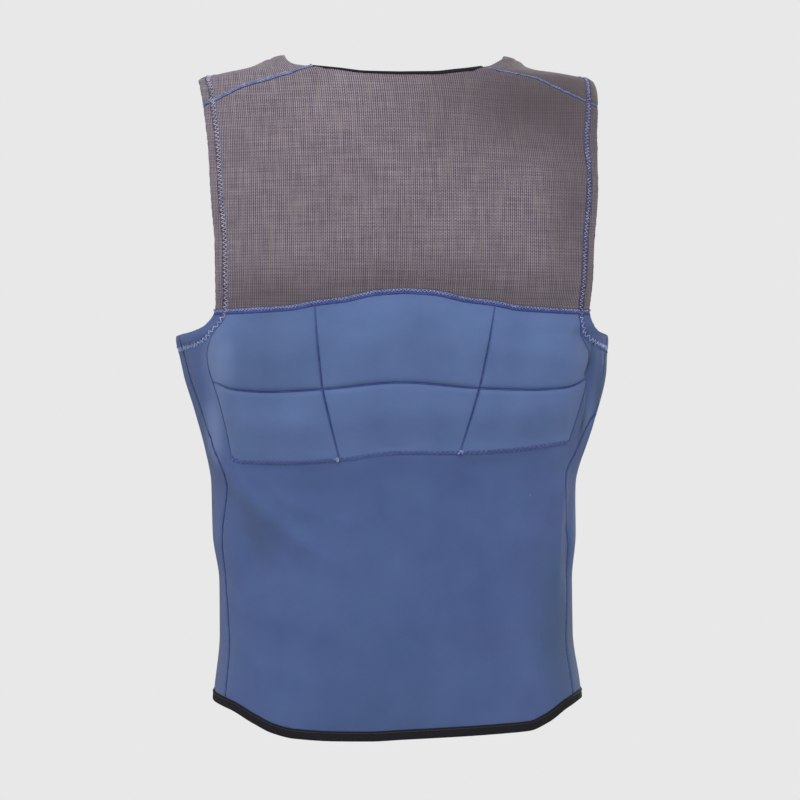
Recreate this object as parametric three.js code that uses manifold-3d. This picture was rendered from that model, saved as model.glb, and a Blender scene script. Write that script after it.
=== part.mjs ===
// Impact vest: a sleeveless neoprene vest with a grey knit yoke, a blue body, six sewn
// foam pads across the back, black bound edges and a plain front zip.
// Millimetres, +Z up. The back of the vest faces -Y and +X is the wearer's right.
// The origin lies midway between the shoulders, level with the underside of the straps.
import * as THREE from "three";
import Module from "manifold-3d";

const wasm = await Module();
wasm.setup();

// Driving dimensions
const bodyLength = 588; // from the top of the shoulder to the lowest point of the back hem
const chestWidth = 380; // across the flared underarms
const chestDepth = 236; // from the back to the front at the chest
const wall = 3; // neoprene
const seamGap = 0.6; // between pieces that meet edge to edge
const padSeat = 0.8; // between a pad and the panel under it
const padThickness = 12; // foam and cover at the middle of a pad
const padEdge = 3; // the same at the sewn edge of a pad
const padRoll = 13; // how far in from its edge a pad rounds off
const bindingHeight = 7.5; // black tape round the hem, as seen from outside
const neckBindingHeight = 3.5; // black tape on the back of the neck
const tape = 1; // thickness of either binding tape
const tapeGap = 0.65; // between a binding tape and the wall that it wraps
const neckEndGap = 0.004; // between the neck tape and a shoulder seam, as a share of the tape
const zipWidth = 18; // between the two front edges
const zipRecess = 1; // how far the zip tape lies below the face of the panels
const zipTape = 1.6; // thickness of the zip tape
const teethWidth = 6;
const teethHeight = 1.8; // above the zip tape
const sliderWidth = 10;
const sliderHeight = 14;
const sliderThickness = 4; // above the teeth
const sliderDrop = 1; // below the top of the zip
const zipBite = 1; // how far the slider reaches down into the teeth
const pullBite = 0.5; // how far the pull reaches down into the slider
const pullWidth = 7;
const pullLength = 30;
const pullThickness = 1.8;
const pullHole = 2.2; // radius of the hole in the pull

// How the wall is meshed, in cells
const seamColumns = 8; // along a shoulder seam, and along the front seam
const neckColumns = 10; // along the back of the neck
const backColumns = 2 * seamColumns + neckColumns;
const yokeRows = 12;
const underarmRows = 3; // of the back panel, beside the armhole
const sideRows = 14; // along a side seam
const neckRows = 11; // of a front yoke, beside the neck
const frontYokeRows = 20;
const underarmColumns = 8; // of a front panel, below the armhole
const frontColumns = seamColumns + underarmColumns;
const padColumns = 12;
const padRows = 8;

const half = chestWidth / 2;
const depth = chestDepth / 2;
const nearbyShare = 0.01; // a small share of the way, to measure slopes with
const restShare = 0.017; // where the middle of a strap lies, as a share of the length
const frontLeanShare = -0.016; // how far the middle of the front leans over by the hem
const frontFade = { from: 110, to: 170 }; // degrees round, from the sections' sway to that lean

// Sections of the body from the neck down to the hem. down is a share of the body length,
// width and sway of half the chest width, back and front of half the chest depth, and
// square is the exponent of the section, 2 for an ellipse.
const sections = [
  { down: -0.03, width: 0.47, sway: -0.032, back: 0.53, front: 0.47, square: 2.1 },
  { down: 0, width: 0.516, sway: -0.032, back: 0.56, front: 0.51, square: 2.1 },
  { down: 0.0085, width: 0.592, sway: -0.036, back: 0.58, front: 0.52, square: 2.15 },
  { down: 0.0165, width: 0.635, sway: -0.046, back: 0.605, front: 0.535, square: 2.15 },
  { down: 0.023, width: 0.7, sway: -0.048, back: 0.63, front: 0.55, square: 2.2 },
  { down: 0.0295, width: 0.82, sway: -0.03, back: 0.654, front: 0.564, square: 2.2 },
  { down: 0.0375, width: 0.91, sway: -0.02, back: 0.68, front: 0.578, square: 2.2 },
  { down: 0.0723, width: 0.968, sway: -0.006, back: 0.763, front: 0.644, square: 2.3 },
  { down: 0.132, width: 0.994, sway: 0.003, back: 0.864, front: 0.746, square: 2.35 },
  { down: 0.217, width: 1.01, sway: 0.008, back: 0.949, front: 0.873, square: 2.4 },
  { down: 0.319, width: 1.01, sway: 0.005, back: 0.99, front: 0.983, square: 2.4 },
  { down: 0.376, width: 1.005, sway: -0.003, back: 0.985, front: 1.01, square: 2.4 },
  { down: 0.4, width: 1.002, sway: -0.014, back: 0.98, front: 1.015, square: 2.4 },
  { down: 0.418, width: 0.995, sway: -0.036, back: 0.974, front: 1.02, square: 2.4 },
  { down: 0.4715, width: 0.974, sway: -0.024, back: 0.955, front: 1.01, square: 2.35 },
  { down: 0.525, width: 0.928, sway: -0.018, back: 0.93, front: 0.995, square: 2.3 },
  { down: 0.585, width: 0.873, sway: -0.024, back: 0.9, front: 0.97, square: 2.3 },
  { down: 0.637, width: 0.84, sway: -0.03, back: 0.87, front: 0.95, square: 2.3 },
  { down: 0.71, width: 0.836, sway: -0.026, back: 0.84, front: 0.92, square: 2.3 },
  { down: 0.7786, width: 0.813, sway: -0.02, back: 0.82, front: 0.89, square: 2.3 },
  { down: 0.856, width: 0.813, sway: -0.018, back: 0.83, front: 0.88, square: 2.3 },
  { down: 0.944, width: 0.845, sway: -0.012, back: 0.87, front: 0.89, square: 2.3 },
  { down: 1.03, width: 0.86, sway: -0.016, back: 0.885, front: 0.9, square: 2.3 },
];

// The armhole, from the tip of the shoulder down to the underarm. back and front say how
// far out its two edges reach, as shares of the half width at that height.
const armhole = [
  { down: 0.0375, back: 1, front: 1 },
  { down: 0.045, back: 0.974, front: 0.972 },
  { down: 0.08, back: 0.926, front: 0.91 },
  { down: 0.15, back: 0.885, front: 0.845 },
  { down: 0.235, back: 0.861, front: 0.8 },
  { down: 0.29, back: 0.846, front: 0.79 },
  { down: 0.35, back: 0.843, front: 0.8 },
  { down: 0.376, back: 0.85, front: 0.82 },
  { down: 0.39, back: 0.862, front: 0.84 },
  { down: 0.403, back: 0.885, front: 0.87 },
  { down: 0.411, back: 0.925, front: 0.92 },
  { down: 0.4165, back: 1, front: 1 },
];

// The seam from the shoulder's neck end to its armhole end, on the back of the strap.
// across is a share of half the chest width.
const shoulderSeam = [
  { across: 0.4, down: 0.0248 },
  { across: 0.5, down: 0.031 },
  { across: 0.6, down: 0.038 },
  { across: 0.7, down: 0.0515 },
  { across: 0.82, down: 0.0685 },
];
const shoulderTipShare = 0.08; // how far down its armhole end lies

// The edge of the neck, by degrees round from the middle of the back.
const neckEdge = [
  { round: 0, down: 0.0362 },
  { round: 20, down: 0.0352 },
  { round: 35, down: 0.0305 },
  { round: 49, down: 0.0248 },
  { round: 54, down: 0.022 },
  { round: 60, down: 0.0165 },
  { round: 66, down: 0.0095 },
  { round: 72, down: 0.0045 },
  { round: 80, down: 0.001 },
  { round: 90, down: 0 },
  { round: 100, down: 0.0015 },
  { round: 110, down: 0.006 },
  { round: 120, down: 0.014 },
  { round: 130, down: 0.027 },
  { round: 140, down: 0.046 },
  { round: 150, down: 0.068 },
  { round: 160, down: 0.092 },
  { round: 170, down: 0.11 },
  { round: 180, down: 0.116 },
];

// The bottom edge of the wall, by degrees round from the middle of the back to either hand
const hemEdge = [
  { round: 0, left: 0.9964, right: 0.9964 },
  { round: 15, left: 0.9988, right: 0.9943 },
  { round: 30, left: 0.9989, right: 0.9923 },
  { round: 45, left: 0.9966, right: 0.99 },
  { round: 53, left: 0.99, right: 0.9885 },
  { round: 60, left: 0.978, right: 0.979 },
  { round: 70, left: 0.9615, right: 0.96 },
  { round: 80, left: 0.955, right: 0.952 },
  { round: 90, left: 0.952, right: 0.951 },
  { round: 110, left: 0.95, right: 0.95 },
  { round: 140, left: 0.948, right: 0.948 },
  { round: 180, left: 0.948, right: 0.948 },
];

// The wavy seam below the grey yoke on the back, and the plain one on the front.
const yokeSeam = [
  { across: 0, down: 0.355 },
  { across: 0.13, down: 0.358 },
  { across: 0.27, down: 0.3675 },
  { across: 0.4, down: 0.3725 },
  { across: 0.51, down: 0.379 },
  { across: 0.64, down: 0.3815 },
];
const frontSeam = [
  { across: 0, down: 0.352 },
  { across: 0.3, down: 0.358 },
  { across: 0.6, down: 0.37 },
];
const yokeEnd = { back: 0.384, front: 0.378 }; // where those seams meet the armhole

// The side seam, as a share of the half width at each height, on the back of the ridge.
const sideTopShare = 0.415; // where it meets the armhole
const sideSeam = [
  { down: 0.46, reach: 0.97 },
  { down: 0.52, reach: 0.965 },
  { down: 0.58, reach: 0.945 },
  { down: 0.622, reach: 0.905 },
  { down: 0.655, reach: 0.92 },
  { down: 0.7, reach: 0.945 },
  { down: 0.77, reach: 0.96 },
  { down: 0.82, reach: 0.95 },
  { down: 0.9, reach: 0.94 },
  { down: 1.02, reach: 0.935 },
];

// The padded field: its outer edge, its level grooves and its upright grooves.
const padSide = [
  { down: 0.384, reach: 0.793 },
  { down: 0.408, reach: 0.819 },
  { down: 0.43, reach: 0.86 },
  { down: 0.446, reach: 0.884 },
  { down: 0.48, reach: 0.88 },
  { down: 0.577, reach: 0.876 },
  { down: 0.61, reach: 0.87 },
];
const middleGroove = [
  { across: -0.86, down: 0.481 },
  { across: -0.73, down: 0.4945 },
  { across: -0.58, down: 0.4985 },
  { across: -0.345, down: 0.495 },
  { across: 0, down: 0.4855 },
  { across: 0.345, down: 0.4935 },
  { across: 0.58, down: 0.4955 },
  { across: 0.73, down: 0.492 },
  { across: 0.86, down: 0.479 },
];
const bottomSeam = [
  { across: -0.775, down: 0.585 },
  { across: -0.7, down: 0.6 },
  { across: -0.52, down: 0.601 },
  { across: -0.27, down: 0.596 },
  { across: 0, down: 0.5855 },
  { across: 0.27, down: 0.586 },
  { across: 0.52, down: 0.5815 },
  { across: 0.78, down: 0.571 },
];
const uprightGroove = { top: 0.403, middle: 0.345, bottom: 0.268 }; // out from the centre

const grey = { color: 0x766d74, roughness: 0.9, metalness: 0 };
const blue = { color: 0x4c5e8a, roughness: 0.8, metalness: 0 };
const black = { color: 0x1e1c22, roughness: 0.85, metalness: 0 };

// A smooth curve through one column of a table, without overshoot between its rows
function through(table, x, y) {
  const xs = table.map((row) => row[x]);
  const ys = table.map((row) => row[y]);
  const slope = (i) => (ys[i + 1] - ys[i]) / (xs[i + 1] - xs[i]);
  const tangent = (i) => {
    if (i === 0) return slope(0);
    if (i === xs.length - 1) return slope(i - 1);
    const before = slope(i - 1);
    const after = slope(i);
    return before * after <= 0 ? 0 : (2 * before * after) / (before + after);
  };
  return (at) => {
    let i = 0;
    while (i < xs.length - 2 && at > xs[i + 1]) i += 1;
    const span = xs[i + 1] - xs[i];
    const k = (at - xs[i]) / span;
    const bend = tangent(i) * (1 - k) - tangent(i + 1) * k - slope(i) * (1 - 2 * k);
    return ys[i] * (1 - k) + ys[i + 1] * k + span * k * (1 - k) * bend;
  };
}

// Level runs down the side of the body in millimetres, along the shoulder and then the flank,
// so it stays even where the shoulder is nearly flat.
sections.forEach((row, i) => {
  const above = sections[i - 1];
  row.level = above
    ? above.level +
      Math.hypot((row.down - above.down) * bodyLength, (row.width - above.width) * half)
    : 0;
});
const column = (name) => through(sections, "level", name);
const widthAt = column("width");
const swayAt = column("sway");
const backAt = column("back");
const frontAt = column("front");
const squareAt = column("square");
const downAt = column("down");
const levelAt = through(sections, "down", "level");
const heightAt = (level) => (restShare - downAt(level)) * bodyLength + wall;

// The point of the wall's outer face at some degrees round from the back and at a level
function pointAt({ round, level }) {
  const turn = THREE.MathUtils.degToRad(round);
  const deep = (Math.cos(turn) > 0 ? backAt(level) : frontAt(level)) * depth;
  const wide = widthAt(level) * half;
  const n = squareAt(level);
  const across = Math.abs(Math.sin(turn) / wide) ** n;
  const along = Math.abs(Math.cos(turn) / deep) ** n;
  const r = (across + along) ** (-1 / n);
  const ahead = THREE.MathUtils.smoothstep(Math.abs(round), frontFade.from, frontFade.to);
  const sway = THREE.MathUtils.lerp(swayAt(level), frontLeanShare * downAt(level), ahead);
  return new THREE.Vector3(
    sway * half + r * Math.sin(turn),
    -r * Math.cos(turn),
    heightAt(level),
  );
}

// The outward normal there
function normalAt({ round, level }) {
  const turnDegrees = 0.5;
  const levelStep = nearbyShare * half;
  const ahead = pointAt({ round: round + turnDegrees, level });
  const behind = pointAt({ round: round - turnDegrees, level });
  const below = pointAt({ round, level: level + levelStep });
  const above = pointAt({ round, level: level - levelStep });
  return below.sub(above).cross(ahead.sub(behind)).normalize();
}

// A point lifted off the outer face
const lifted = (place, lift) => pointAt(place).addScaledVector(normalAt(place), lift);

// Degrees round for a share of the half width, on the back or on the front
function roundAt(reach, level, onFront = false) {
  const share = Math.min(Math.abs(reach), 1);
  const n = squareAt(level);
  const deep = (onFront ? -frontAt(level) : backAt(level)) * depth;
  const y = deep * (1 - share ** n) ** (1 / n);
  const turn = Math.atan2(share * widthAt(level) * half, y);
  return Math.sign(reach) * THREE.MathUtils.radToDeg(turn);
}

// The place on the back or the front for a share of half the chest width and a height
function placeAcross(across, down, onFront = false) {
  const level = levelAt(down);
  return { round: roundAt(across / widthAt(level), level, onFront), level };
}

const mix = (a, b, k) => ({
  round: a.round + (b.round - a.round) * k,
  level: a.level + (b.level - a.level) * k,
});
const reversed = (curve) => (k) => curve(1 - k);
const mirrored = (curve) => (k) => ({ ...curve(k), round: -curve(k).round });

// The same curve, travelled at an even pace over the surface
function paced(curve, steps = 80) {
  const length = [0];
  for (let i = 1; i <= steps; i += 1) {
    const gone = pointAt(curve(i / steps)).distanceTo(pointAt(curve((i - 1) / steps)));
    length.push(length[i - 1] + gone);
  }
  return (k) => {
    const wanted = k * length[steps];
    let i = 0;
    while (i < steps - 1 && wanted > length[i + 1]) i += 1;
    const part = (wanted - length[i]) / (length[i + 1] - length[i]);
    return curve((i + part) / steps);
  };
}

// Two curves end to end, the first of them taking a share of the way
const joined = (first, second, share) => (k) =>
  k < share ? first(k / share) : second((k - share) / (1 - share));

// Seams and edges of the right-hand side, as curves on the surface
const armholeAt = {
  back: through(armhole, "down", "back"),
  front: through(armhole, "down", "front"),
};
const armholeTop = armhole[0].down;
const armholeBottom = armhole[armhole.length - 1].down;
const armholeAcross = (down, edge) => armholeAt[edge](down) * widthAt(levelAt(down));

// One edge of the armhole between two heights, at an even pace
function armholeEdge(from, to, onFront) {
  const reachAt = onFront ? armholeAt.front : armholeAt.back;
  const swing = (down) =>
    Math.acos(1 - (2 * (down - armholeTop)) / (armholeBottom - armholeTop)) / Math.PI;
  const [start, end] = [swing(from), swing(to)];
  return paced((k) => {
    const turn = (start + (end - start) * k) * Math.PI;
    const down = armholeTop + ((armholeBottom - armholeTop) * (1 - Math.cos(turn))) / 2;
    const level = levelAt(down);
    return { round: roundAt(reachAt(down), level, onFront), level };
  });
}

shoulderSeam.push({ across: armholeAcross(shoulderTipShare, "back"), down: shoulderTipShare });
const shoulderDown = through(shoulderSeam, "across", "down");
const shoulderCurve = paced((k) => {
  const [from, to] = [shoulderSeam[0].across, shoulderSeam[shoulderSeam.length - 1].across];
  const across = from + (to - from) * k;
  return placeAcross(across, shoulderDown(across));
});
const neckDown = through(neckEdge, "round", "down");
const neckPlace = (round) => ({ round, level: levelAt(neckDown(Math.abs(round))) });
const neckSeamRound = shoulderCurve(0).round;
const hemLeft = through(hemEdge, "round", "left");
const hemRight = through(hemEdge, "round", "right");
const hemDown = (round) => (round < 0 ? hemLeft(-round) : hemRight(round));
const hemPlace = (round) => ({ round, level: levelAt(hemDown(round)) });

const yokeEndAcross = armholeAcross(yokeEnd.back, "back");
yokeSeam.push({ across: yokeEndAcross, down: yokeEnd.back });
const yokeTable = through(yokeSeam, "across", "down");
const yokeDown = (across) => yokeTable(Math.abs(across));
const yokeCurve = paced((k) => {
  const across = yokeEndAcross * (2 * k - 1);
  return placeAcross(across, yokeDown(across));
});

sideSeam.unshift({ down: sideTopShare, reach: armholeAt.back(sideTopShare) });
const sideReach = through(sideSeam, "down", "reach");
function sideCurve(hand) {
  const place = (down) => ({
    round: hand * roundAt(sideReach(down), levelAt(down)),
    level: levelAt(down),
  });
  let bottom = 0.95;
  for (let i = 0; i < 20; i += 1) bottom = hemDown(place(bottom).round);
  return paced((k) => place(sideTopShare + (bottom - sideTopShare) * k));
}

const zipAcross = (zipWidth + seamGap) / 2 / half;
const zipEdgeAt = (level) => roundAt(zipAcross / widthAt(level), level, true);
frontSeam.push({ across: armholeAcross(yokeEnd.front, "front"), down: yokeEnd.front });
const frontSeamDown = through(frontSeam, "across", "down");
const frontSeamCurve = paced((k) => {
  const from = frontSeam[frontSeam.length - 1].across;
  const across = from + (zipAcross - from) * k;
  return placeAcross(across, frontSeamDown(across), true);
});
const zipEdge = (fromLevel, toLevel) => (k) => {
  const level = fromLevel + (toLevel - fromLevel) * k;
  return { round: zipEdgeAt(level), level };
};
const zipPlace = (level) => ({ round: zipEdgeAt(level), level });
const neckCorner = zipPlace(neckPlace(180).level);
const hemCorner = zipPlace(hemPlace(180).level);
const sideSeams = { [-1]: sideCurve(-1), 1: sideCurve(1) };
const neckCurve = paced((k) => neckPlace(neckSeamRound * (2 * k - 1)));
const neckTurn = paced((k) => neckPlace(neckSeamRound + (neckCorner.round - neckSeamRound) * k));
const hemBetween = (from, to) => paced((k) => hemPlace(from + (to - from) * k));
const hemBack = hemBetween(sideSeams[-1](1).round, sideSeams[1](1).round);
const hemFront = (hand) => hemBetween(hand * hemCorner.round, sideSeams[hand](1).round);

// A sheet between four curves: top and bottom run the same way, and so do left and right
function blended({ top, bottom, left, right }) {
  return (u, v) => {
    const down = mix(top(u), bottom(u), v);
    const over = mix(left(v), right(v), u);
    const corners = mix(mix(top(0), top(1), u), mix(bottom(0), bottom(1), u), v);
    return {
      round: down.round + over.round - corners.round,
      level: down.level + over.level - corners.level,
    };
  };
}

// A closed mesh from its vertices and triangles, turned so that its faces point out
function solid(vertices, triangles) {
  let volume = 0;
  for (const [a, b, c] of triangles)
    volume += vertices[a].dot(vertices[b].clone().cross(vertices[c]));
  const facing = volume < 0 ? triangles.map(([a, b, c]) => [a, c, b]) : triangles;
  const geometry = new THREE.BufferGeometry();
  const flat = vertices.flatMap((p) => [p.x, p.y, p.z]);
  geometry.setAttribute("position", new THREE.Float32BufferAttribute(flat, 3));
  geometry.setIndex(facing.flat());
  geometry.computeVertexNormals();
  return geometry;
}

// A panel of the wall. Its edge draws in by half a seam gap, and outer and inner give the
// lift of its two faces at (u, v).
function panel(place, columns, rows, outer, inner, spacing = (k) => k) {
  const us = Array.from({ length: columns + 1 }, (_, i) => spacing(i / columns));
  const vs = Array.from({ length: rows + 1 }, (_, j) => spacing(j / rows));
  const grid = vs.map((v) => us.map((u) => place(u, v)));
  const drawIn = (line, inner) => {
    const points = line.map(pointAt);
    return line.map((edge, i) => {
      const along = points[Math.min(i + 1, line.length - 1)]
        .clone()
        .sub(points[Math.max(i - 1, 0)]);
      const over = pointAt(mix(edge, inner[i], nearbyShare)).sub(points[i]);
      const pace = over.cross(along.normalize()).length() / nearbyShare;
      return mix(edge, inner[i], seamGap / 2 / pace);
    });
  };
  const columnOf = (i) => grid.map((row) => row[i]);
  const [west, east] = [
    drawIn(columnOf(0), columnOf(1)),
    drawIn(columnOf(columns), columnOf(columns - 1)),
  ];
  grid.forEach((row, j) => {
    row[0] = west[j];
    row[columns] = east[j];
  });
  const [north, south] = [drawIn(grid[0], grid[1]), drawIn(grid[rows], grid[rows - 1])];
  grid[0] = north;
  grid[rows] = south;
  const face = (lift) =>
    grid.flatMap((row, j) => row.map((at, i) => lifted(at, lift(us[i], vs[j]))));
  const vertices = [...face(outer), ...face(inner)];
  const perFace = (columns + 1) * (rows + 1);
  const at = (i, j) => j * (columns + 1) + i;
  const triangles = [];
  const quad = (a, b, c, d) => triangles.push([a, b, c], [a, c, d]);
  for (let j = 0; j < rows; j += 1)
    for (let i = 0; i < columns; i += 1) {
      const cell = [at(i, j), at(i + 1, j), at(i + 1, j + 1), at(i, j + 1)];
      quad(...cell);
      quad(...cell.map((k) => k + perFace).reverse());
    }
  const rim = [];
  for (let i = 0; i < columns; i += 1) rim.push(at(i, 0));
  for (let j = 0; j < rows; j += 1) rim.push(at(columns, j));
  for (let i = columns; i > 0; i -= 1) rim.push(at(i, rows));
  for (let j = rows; j > 0; j -= 1) rim.push(at(0, j));
  rim.forEach((a, k) => {
    const b = rim[(k + 1) % rim.length];
    quad(a, a + perFace, b + perFace, b);
  });
  return solid(vertices, triangles);
}

const wallPanel = (place, columns, rows) =>
  panel(
    place,
    columns,
    rows,
    () => 0,
    () => -wall,
  );

// A strip with one profile all along. Each station has a point and the directions that the
// profile's two coordinates follow.
function strip(stations, profile) {
  const count = profile.length;
  const vertices = stations.flatMap(({ point, first, second }) =>
    profile.map(([a, b]) => point.clone().addScaledVector(first, a).addScaledVector(second, b)),
  );
  const triangles = [];
  for (let i = 0; i < stations.length - 1; i += 1)
    for (let k = 0; k < count; k += 1) {
      const [a, b] = [i * count + k, i * count + ((k + 1) % count)];
      triangles.push([a, a + count, b + count], [a, b + count, b]);
    }
  const outline = profile.map(([a, b]) => new THREE.Vector2(a, b));
  const last = (stations.length - 1) * count;
  const turned = THREE.ShapeUtils.isClockWise(outline);
  for (const [a, b, c] of THREE.ShapeUtils.triangulateShape(outline, [])) {
    triangles.push(turned ? [a, c, b] : [a, b, c]);
    triangles.push(turned ? [last + a, last + b, last + c] : [last + a, last + c, last + b]);
  }
  return solid(vertices, triangles);
}

// Tape folded over an edge of the wall. wallSide is -1 where the wall is above the edge and
// 1 where it is below.
function binding(places, wallSide, height) {
  const outside = tapeGap + tape;
  const inside = wall + tapeGap + tape;
  const profile = [
    [outside, -height + outside],
    [outside, outside],
    [-inside, outside],
    [-inside, -height + outside],
    [-wall - tapeGap, -height + outside],
    [-wall - tapeGap, tapeGap],
    [tapeGap, tapeGap],
    [tapeGap, -height + outside],
  ];
  const points = places.map(pointAt);
  const stations = places.map(({ round, level }, i) => {
    const along = points[Math.min(i + 1, points.length - 1)]
      .clone()
      .sub(points[Math.max(i - 1, 0)])
      .normalize();
    const wallPoint = pointAt({ round, level: level + wallSide * height });
    const beyond = points[i].clone().sub(wallPoint);
    beyond.addScaledVector(along, -beyond.dot(along)).normalize();
    const out = beyond.clone().cross(along);
    if (out.dot(normalAt({ round, level })) < 0) out.negate();
    return { point: points[i], first: out, second: beyond };
  });
  return strip(stations, profile);
}

// Manifold-3d solids from geometries, and back
function asManifold(geometry) {
  return new wasm.Manifold(
    new wasm.Mesh({
      numProp: 3,
      vertProperties: new Float32Array(geometry.getAttribute("position").array),
      triVerts: new Uint32Array(geometry.index.array),
    }),
  );
}

function fromManifold(made) {
  const { vertProperties, triVerts } = made.getMesh();
  const geometry = new THREE.BufferGeometry();
  geometry.setAttribute("position", new THREE.BufferAttribute(vertProperties, 3));
  geometry.setIndex(new THREE.BufferAttribute(triVerts, 1));
  geometry.computeVertexNormals();
  return geometry;
}

function backYoke() {
  const neckOn = joined(neckCurve, shoulderCurve, neckColumns / (neckColumns + seamColumns));
  const side = armholeEdge(shoulderTipShare, yokeEnd.back, false);
  const sheet = blended({
    top: joined(mirrored(reversed(shoulderCurve)), neckOn, seamColumns / backColumns),
    bottom: yokeCurve,
    left: mirrored(side),
    right: side,
  });
  return wallPanel(sheet, backColumns, yokeRows);
}

function backPanel() {
  const rows = underarmRows + sideRows;
  const underarm = armholeEdge(yokeEnd.back, sideTopShare, false);
  const share = underarmRows / rows;
  const sheet = blended({
    top: yokeCurve,
    bottom: hemBack,
    left: joined(mirrored(underarm), sideSeams[-1], share),
    right: joined(underarm, sideSeams[1], share),
  });
  return wallPanel(sheet, backColumns, rows);
}

function frontYoke(hand) {
  const overShoulder = joined(
    armholeEdge(shoulderTipShare, armholeTop, false),
    armholeEdge(armholeTop, yokeEnd.front, true),
    0.15,
  );
  const alongZip = zipEdge(neckCorner.level, frontSeamCurve(1).level);
  const sheet = blended({
    top: reversed(shoulderCurve),
    bottom: frontSeamCurve,
    left: paced(overShoulder),
    right: joined(neckTurn, alongZip, neckRows / frontYokeRows),
  });
  return wallPanel(handed(sheet, hand), seamColumns, frontYokeRows);
}

function frontPanel(hand) {
  const underarm = joined(
    armholeEdge(yokeEnd.front, armholeBottom, true),
    armholeEdge(armholeBottom, sideTopShare, false),
    0.8,
  );
  const top = joined(reversed(frontSeamCurve), paced(underarm), seamColumns / frontColumns);
  const alongZip = zipEdge(frontSeamCurve(1).level, hemCorner.level);
  const sheet = blended({
    top: hand > 0 ? top : mirrored(top),
    bottom: hemFront(hand),
    left: hand > 0 ? alongZip : mirrored(alongZip),
    right: sideSeams[hand],
  });
  return wallPanel(sheet, frontColumns, sideRows);
}

// The same sheet on the wearer's right (1) or left (-1)
function handed(sheet, hand) {
  return (u, v) => {
    const place = sheet(u, v);
    return { ...place, round: place.round * hand };
  };
}

// The lines that bound the padded field, as functions of a signed share of half the chest
const middleDown = through(middleGroove, "across", "down");
const bottomDown = through(bottomSeam, "across", "down");
const padReach = through(padSide, "down", "reach");
const padAcross = (down) => padReach(down) * widthAt(levelAt(down));

// Where a level line ends at the outer edge of the padded field
function lineEnd(lineDown, hand) {
  let across = 0.8 * hand;
  for (let i = 0; i < 20; i += 1) across = hand * padAcross(lineDown(across));
  return across;
}

function pad(row, slot) {
  const lines = row === "upper" ? [yokeDown, middleDown] : [middleDown, bottomDown];
  const upright =
    row === "upper"
      ? [uprightGroove.top, uprightGroove.middle]
      : [uprightGroove.middle, uprightGroove.bottom];
  // The signed share across at which each line meets the pad's left and right side
  const ends = lines.map((line, i) => ({
    left: slot < 0 ? lineEnd(line, -1) : slot === 0 ? -upright[i] : upright[i],
    right: slot > 0 ? lineEnd(line, 1) : slot === 0 ? upright[i] : -upright[i],
  }));
  const along = (i) =>
    paced((k) => {
      const across = ends[i].left + (ends[i].right - ends[i].left) * k;
      return placeAcross(across, lines[i](across));
    });
  const side = (name) => {
    const from = lines[0](ends[0][name]);
    const to = lines[1](ends[1][name]);
    const outermost = (slot < 0 && name === "left") || (slot > 0 && name === "right");
    const swayOf = (down) => swayAt(levelAt(down));
    const [start, end] = [ends[0][name] + swayOf(from), ends[1][name] + swayOf(to)];
    return paced((k) => {
      const down = from + (to - from) * k;
      if (outermost) return placeAcross(Math.sign(slot) * padAcross(down), down);
      return placeAcross(start + (end - start) * k - swayOf(down), down);
    });
  };
  const sheet = blended({
    top: along(0),
    bottom: along(1),
    left: side("left"),
    right: side("right"),
  });
  const length = (a, b) => pointAt(a).distanceTo(pointAt(b));
  const wide = length(sheet(0, 0.5), sheet(1, 0.5));
  const tall = length(sheet(0.5, 0), sheet(0.5, 1));
  const roll = (k, size) => {
    const away = Math.min(k, 1 - k) * size;
    const rest = Math.max(1 - away / Math.min(padRoll, size / 2), 0);
    return Math.sqrt(1 - rest * rest);
  };
  const rise = (u, v) =>
    padSeat + padEdge + (padThickness - padEdge) * roll(u, wide) * roll(v, tall);
  const crowded = (k) => k - 0.11 * Math.sin(2 * Math.PI * k);
  return panel(sheet, padColumns, padRows, rise, () => padSeat, crowded);
}

function neckBinding() {
  const places = Array.from({ length: neckColumns + 1 }, (_, i) => neckCurve(i / neckColumns));
  places[0] = neckCurve(neckEndGap);
  places[neckColumns] = neckCurve(1 - neckEndGap);
  return binding(places, 1, neckBindingHeight);
}

function hemBinding() {
  const along = (curve, count) => Array.from({ length: count }, (_, i) => curve(i / count));
  const left = along(hemFront(-1), frontColumns);
  const back = along(hemBack, backColumns);
  const right = along(reversed(hemFront(1)), frontColumns);
  return binding([...left, ...back, ...right, hemFront(1)(0)], -1, bindingHeight);
}

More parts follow.
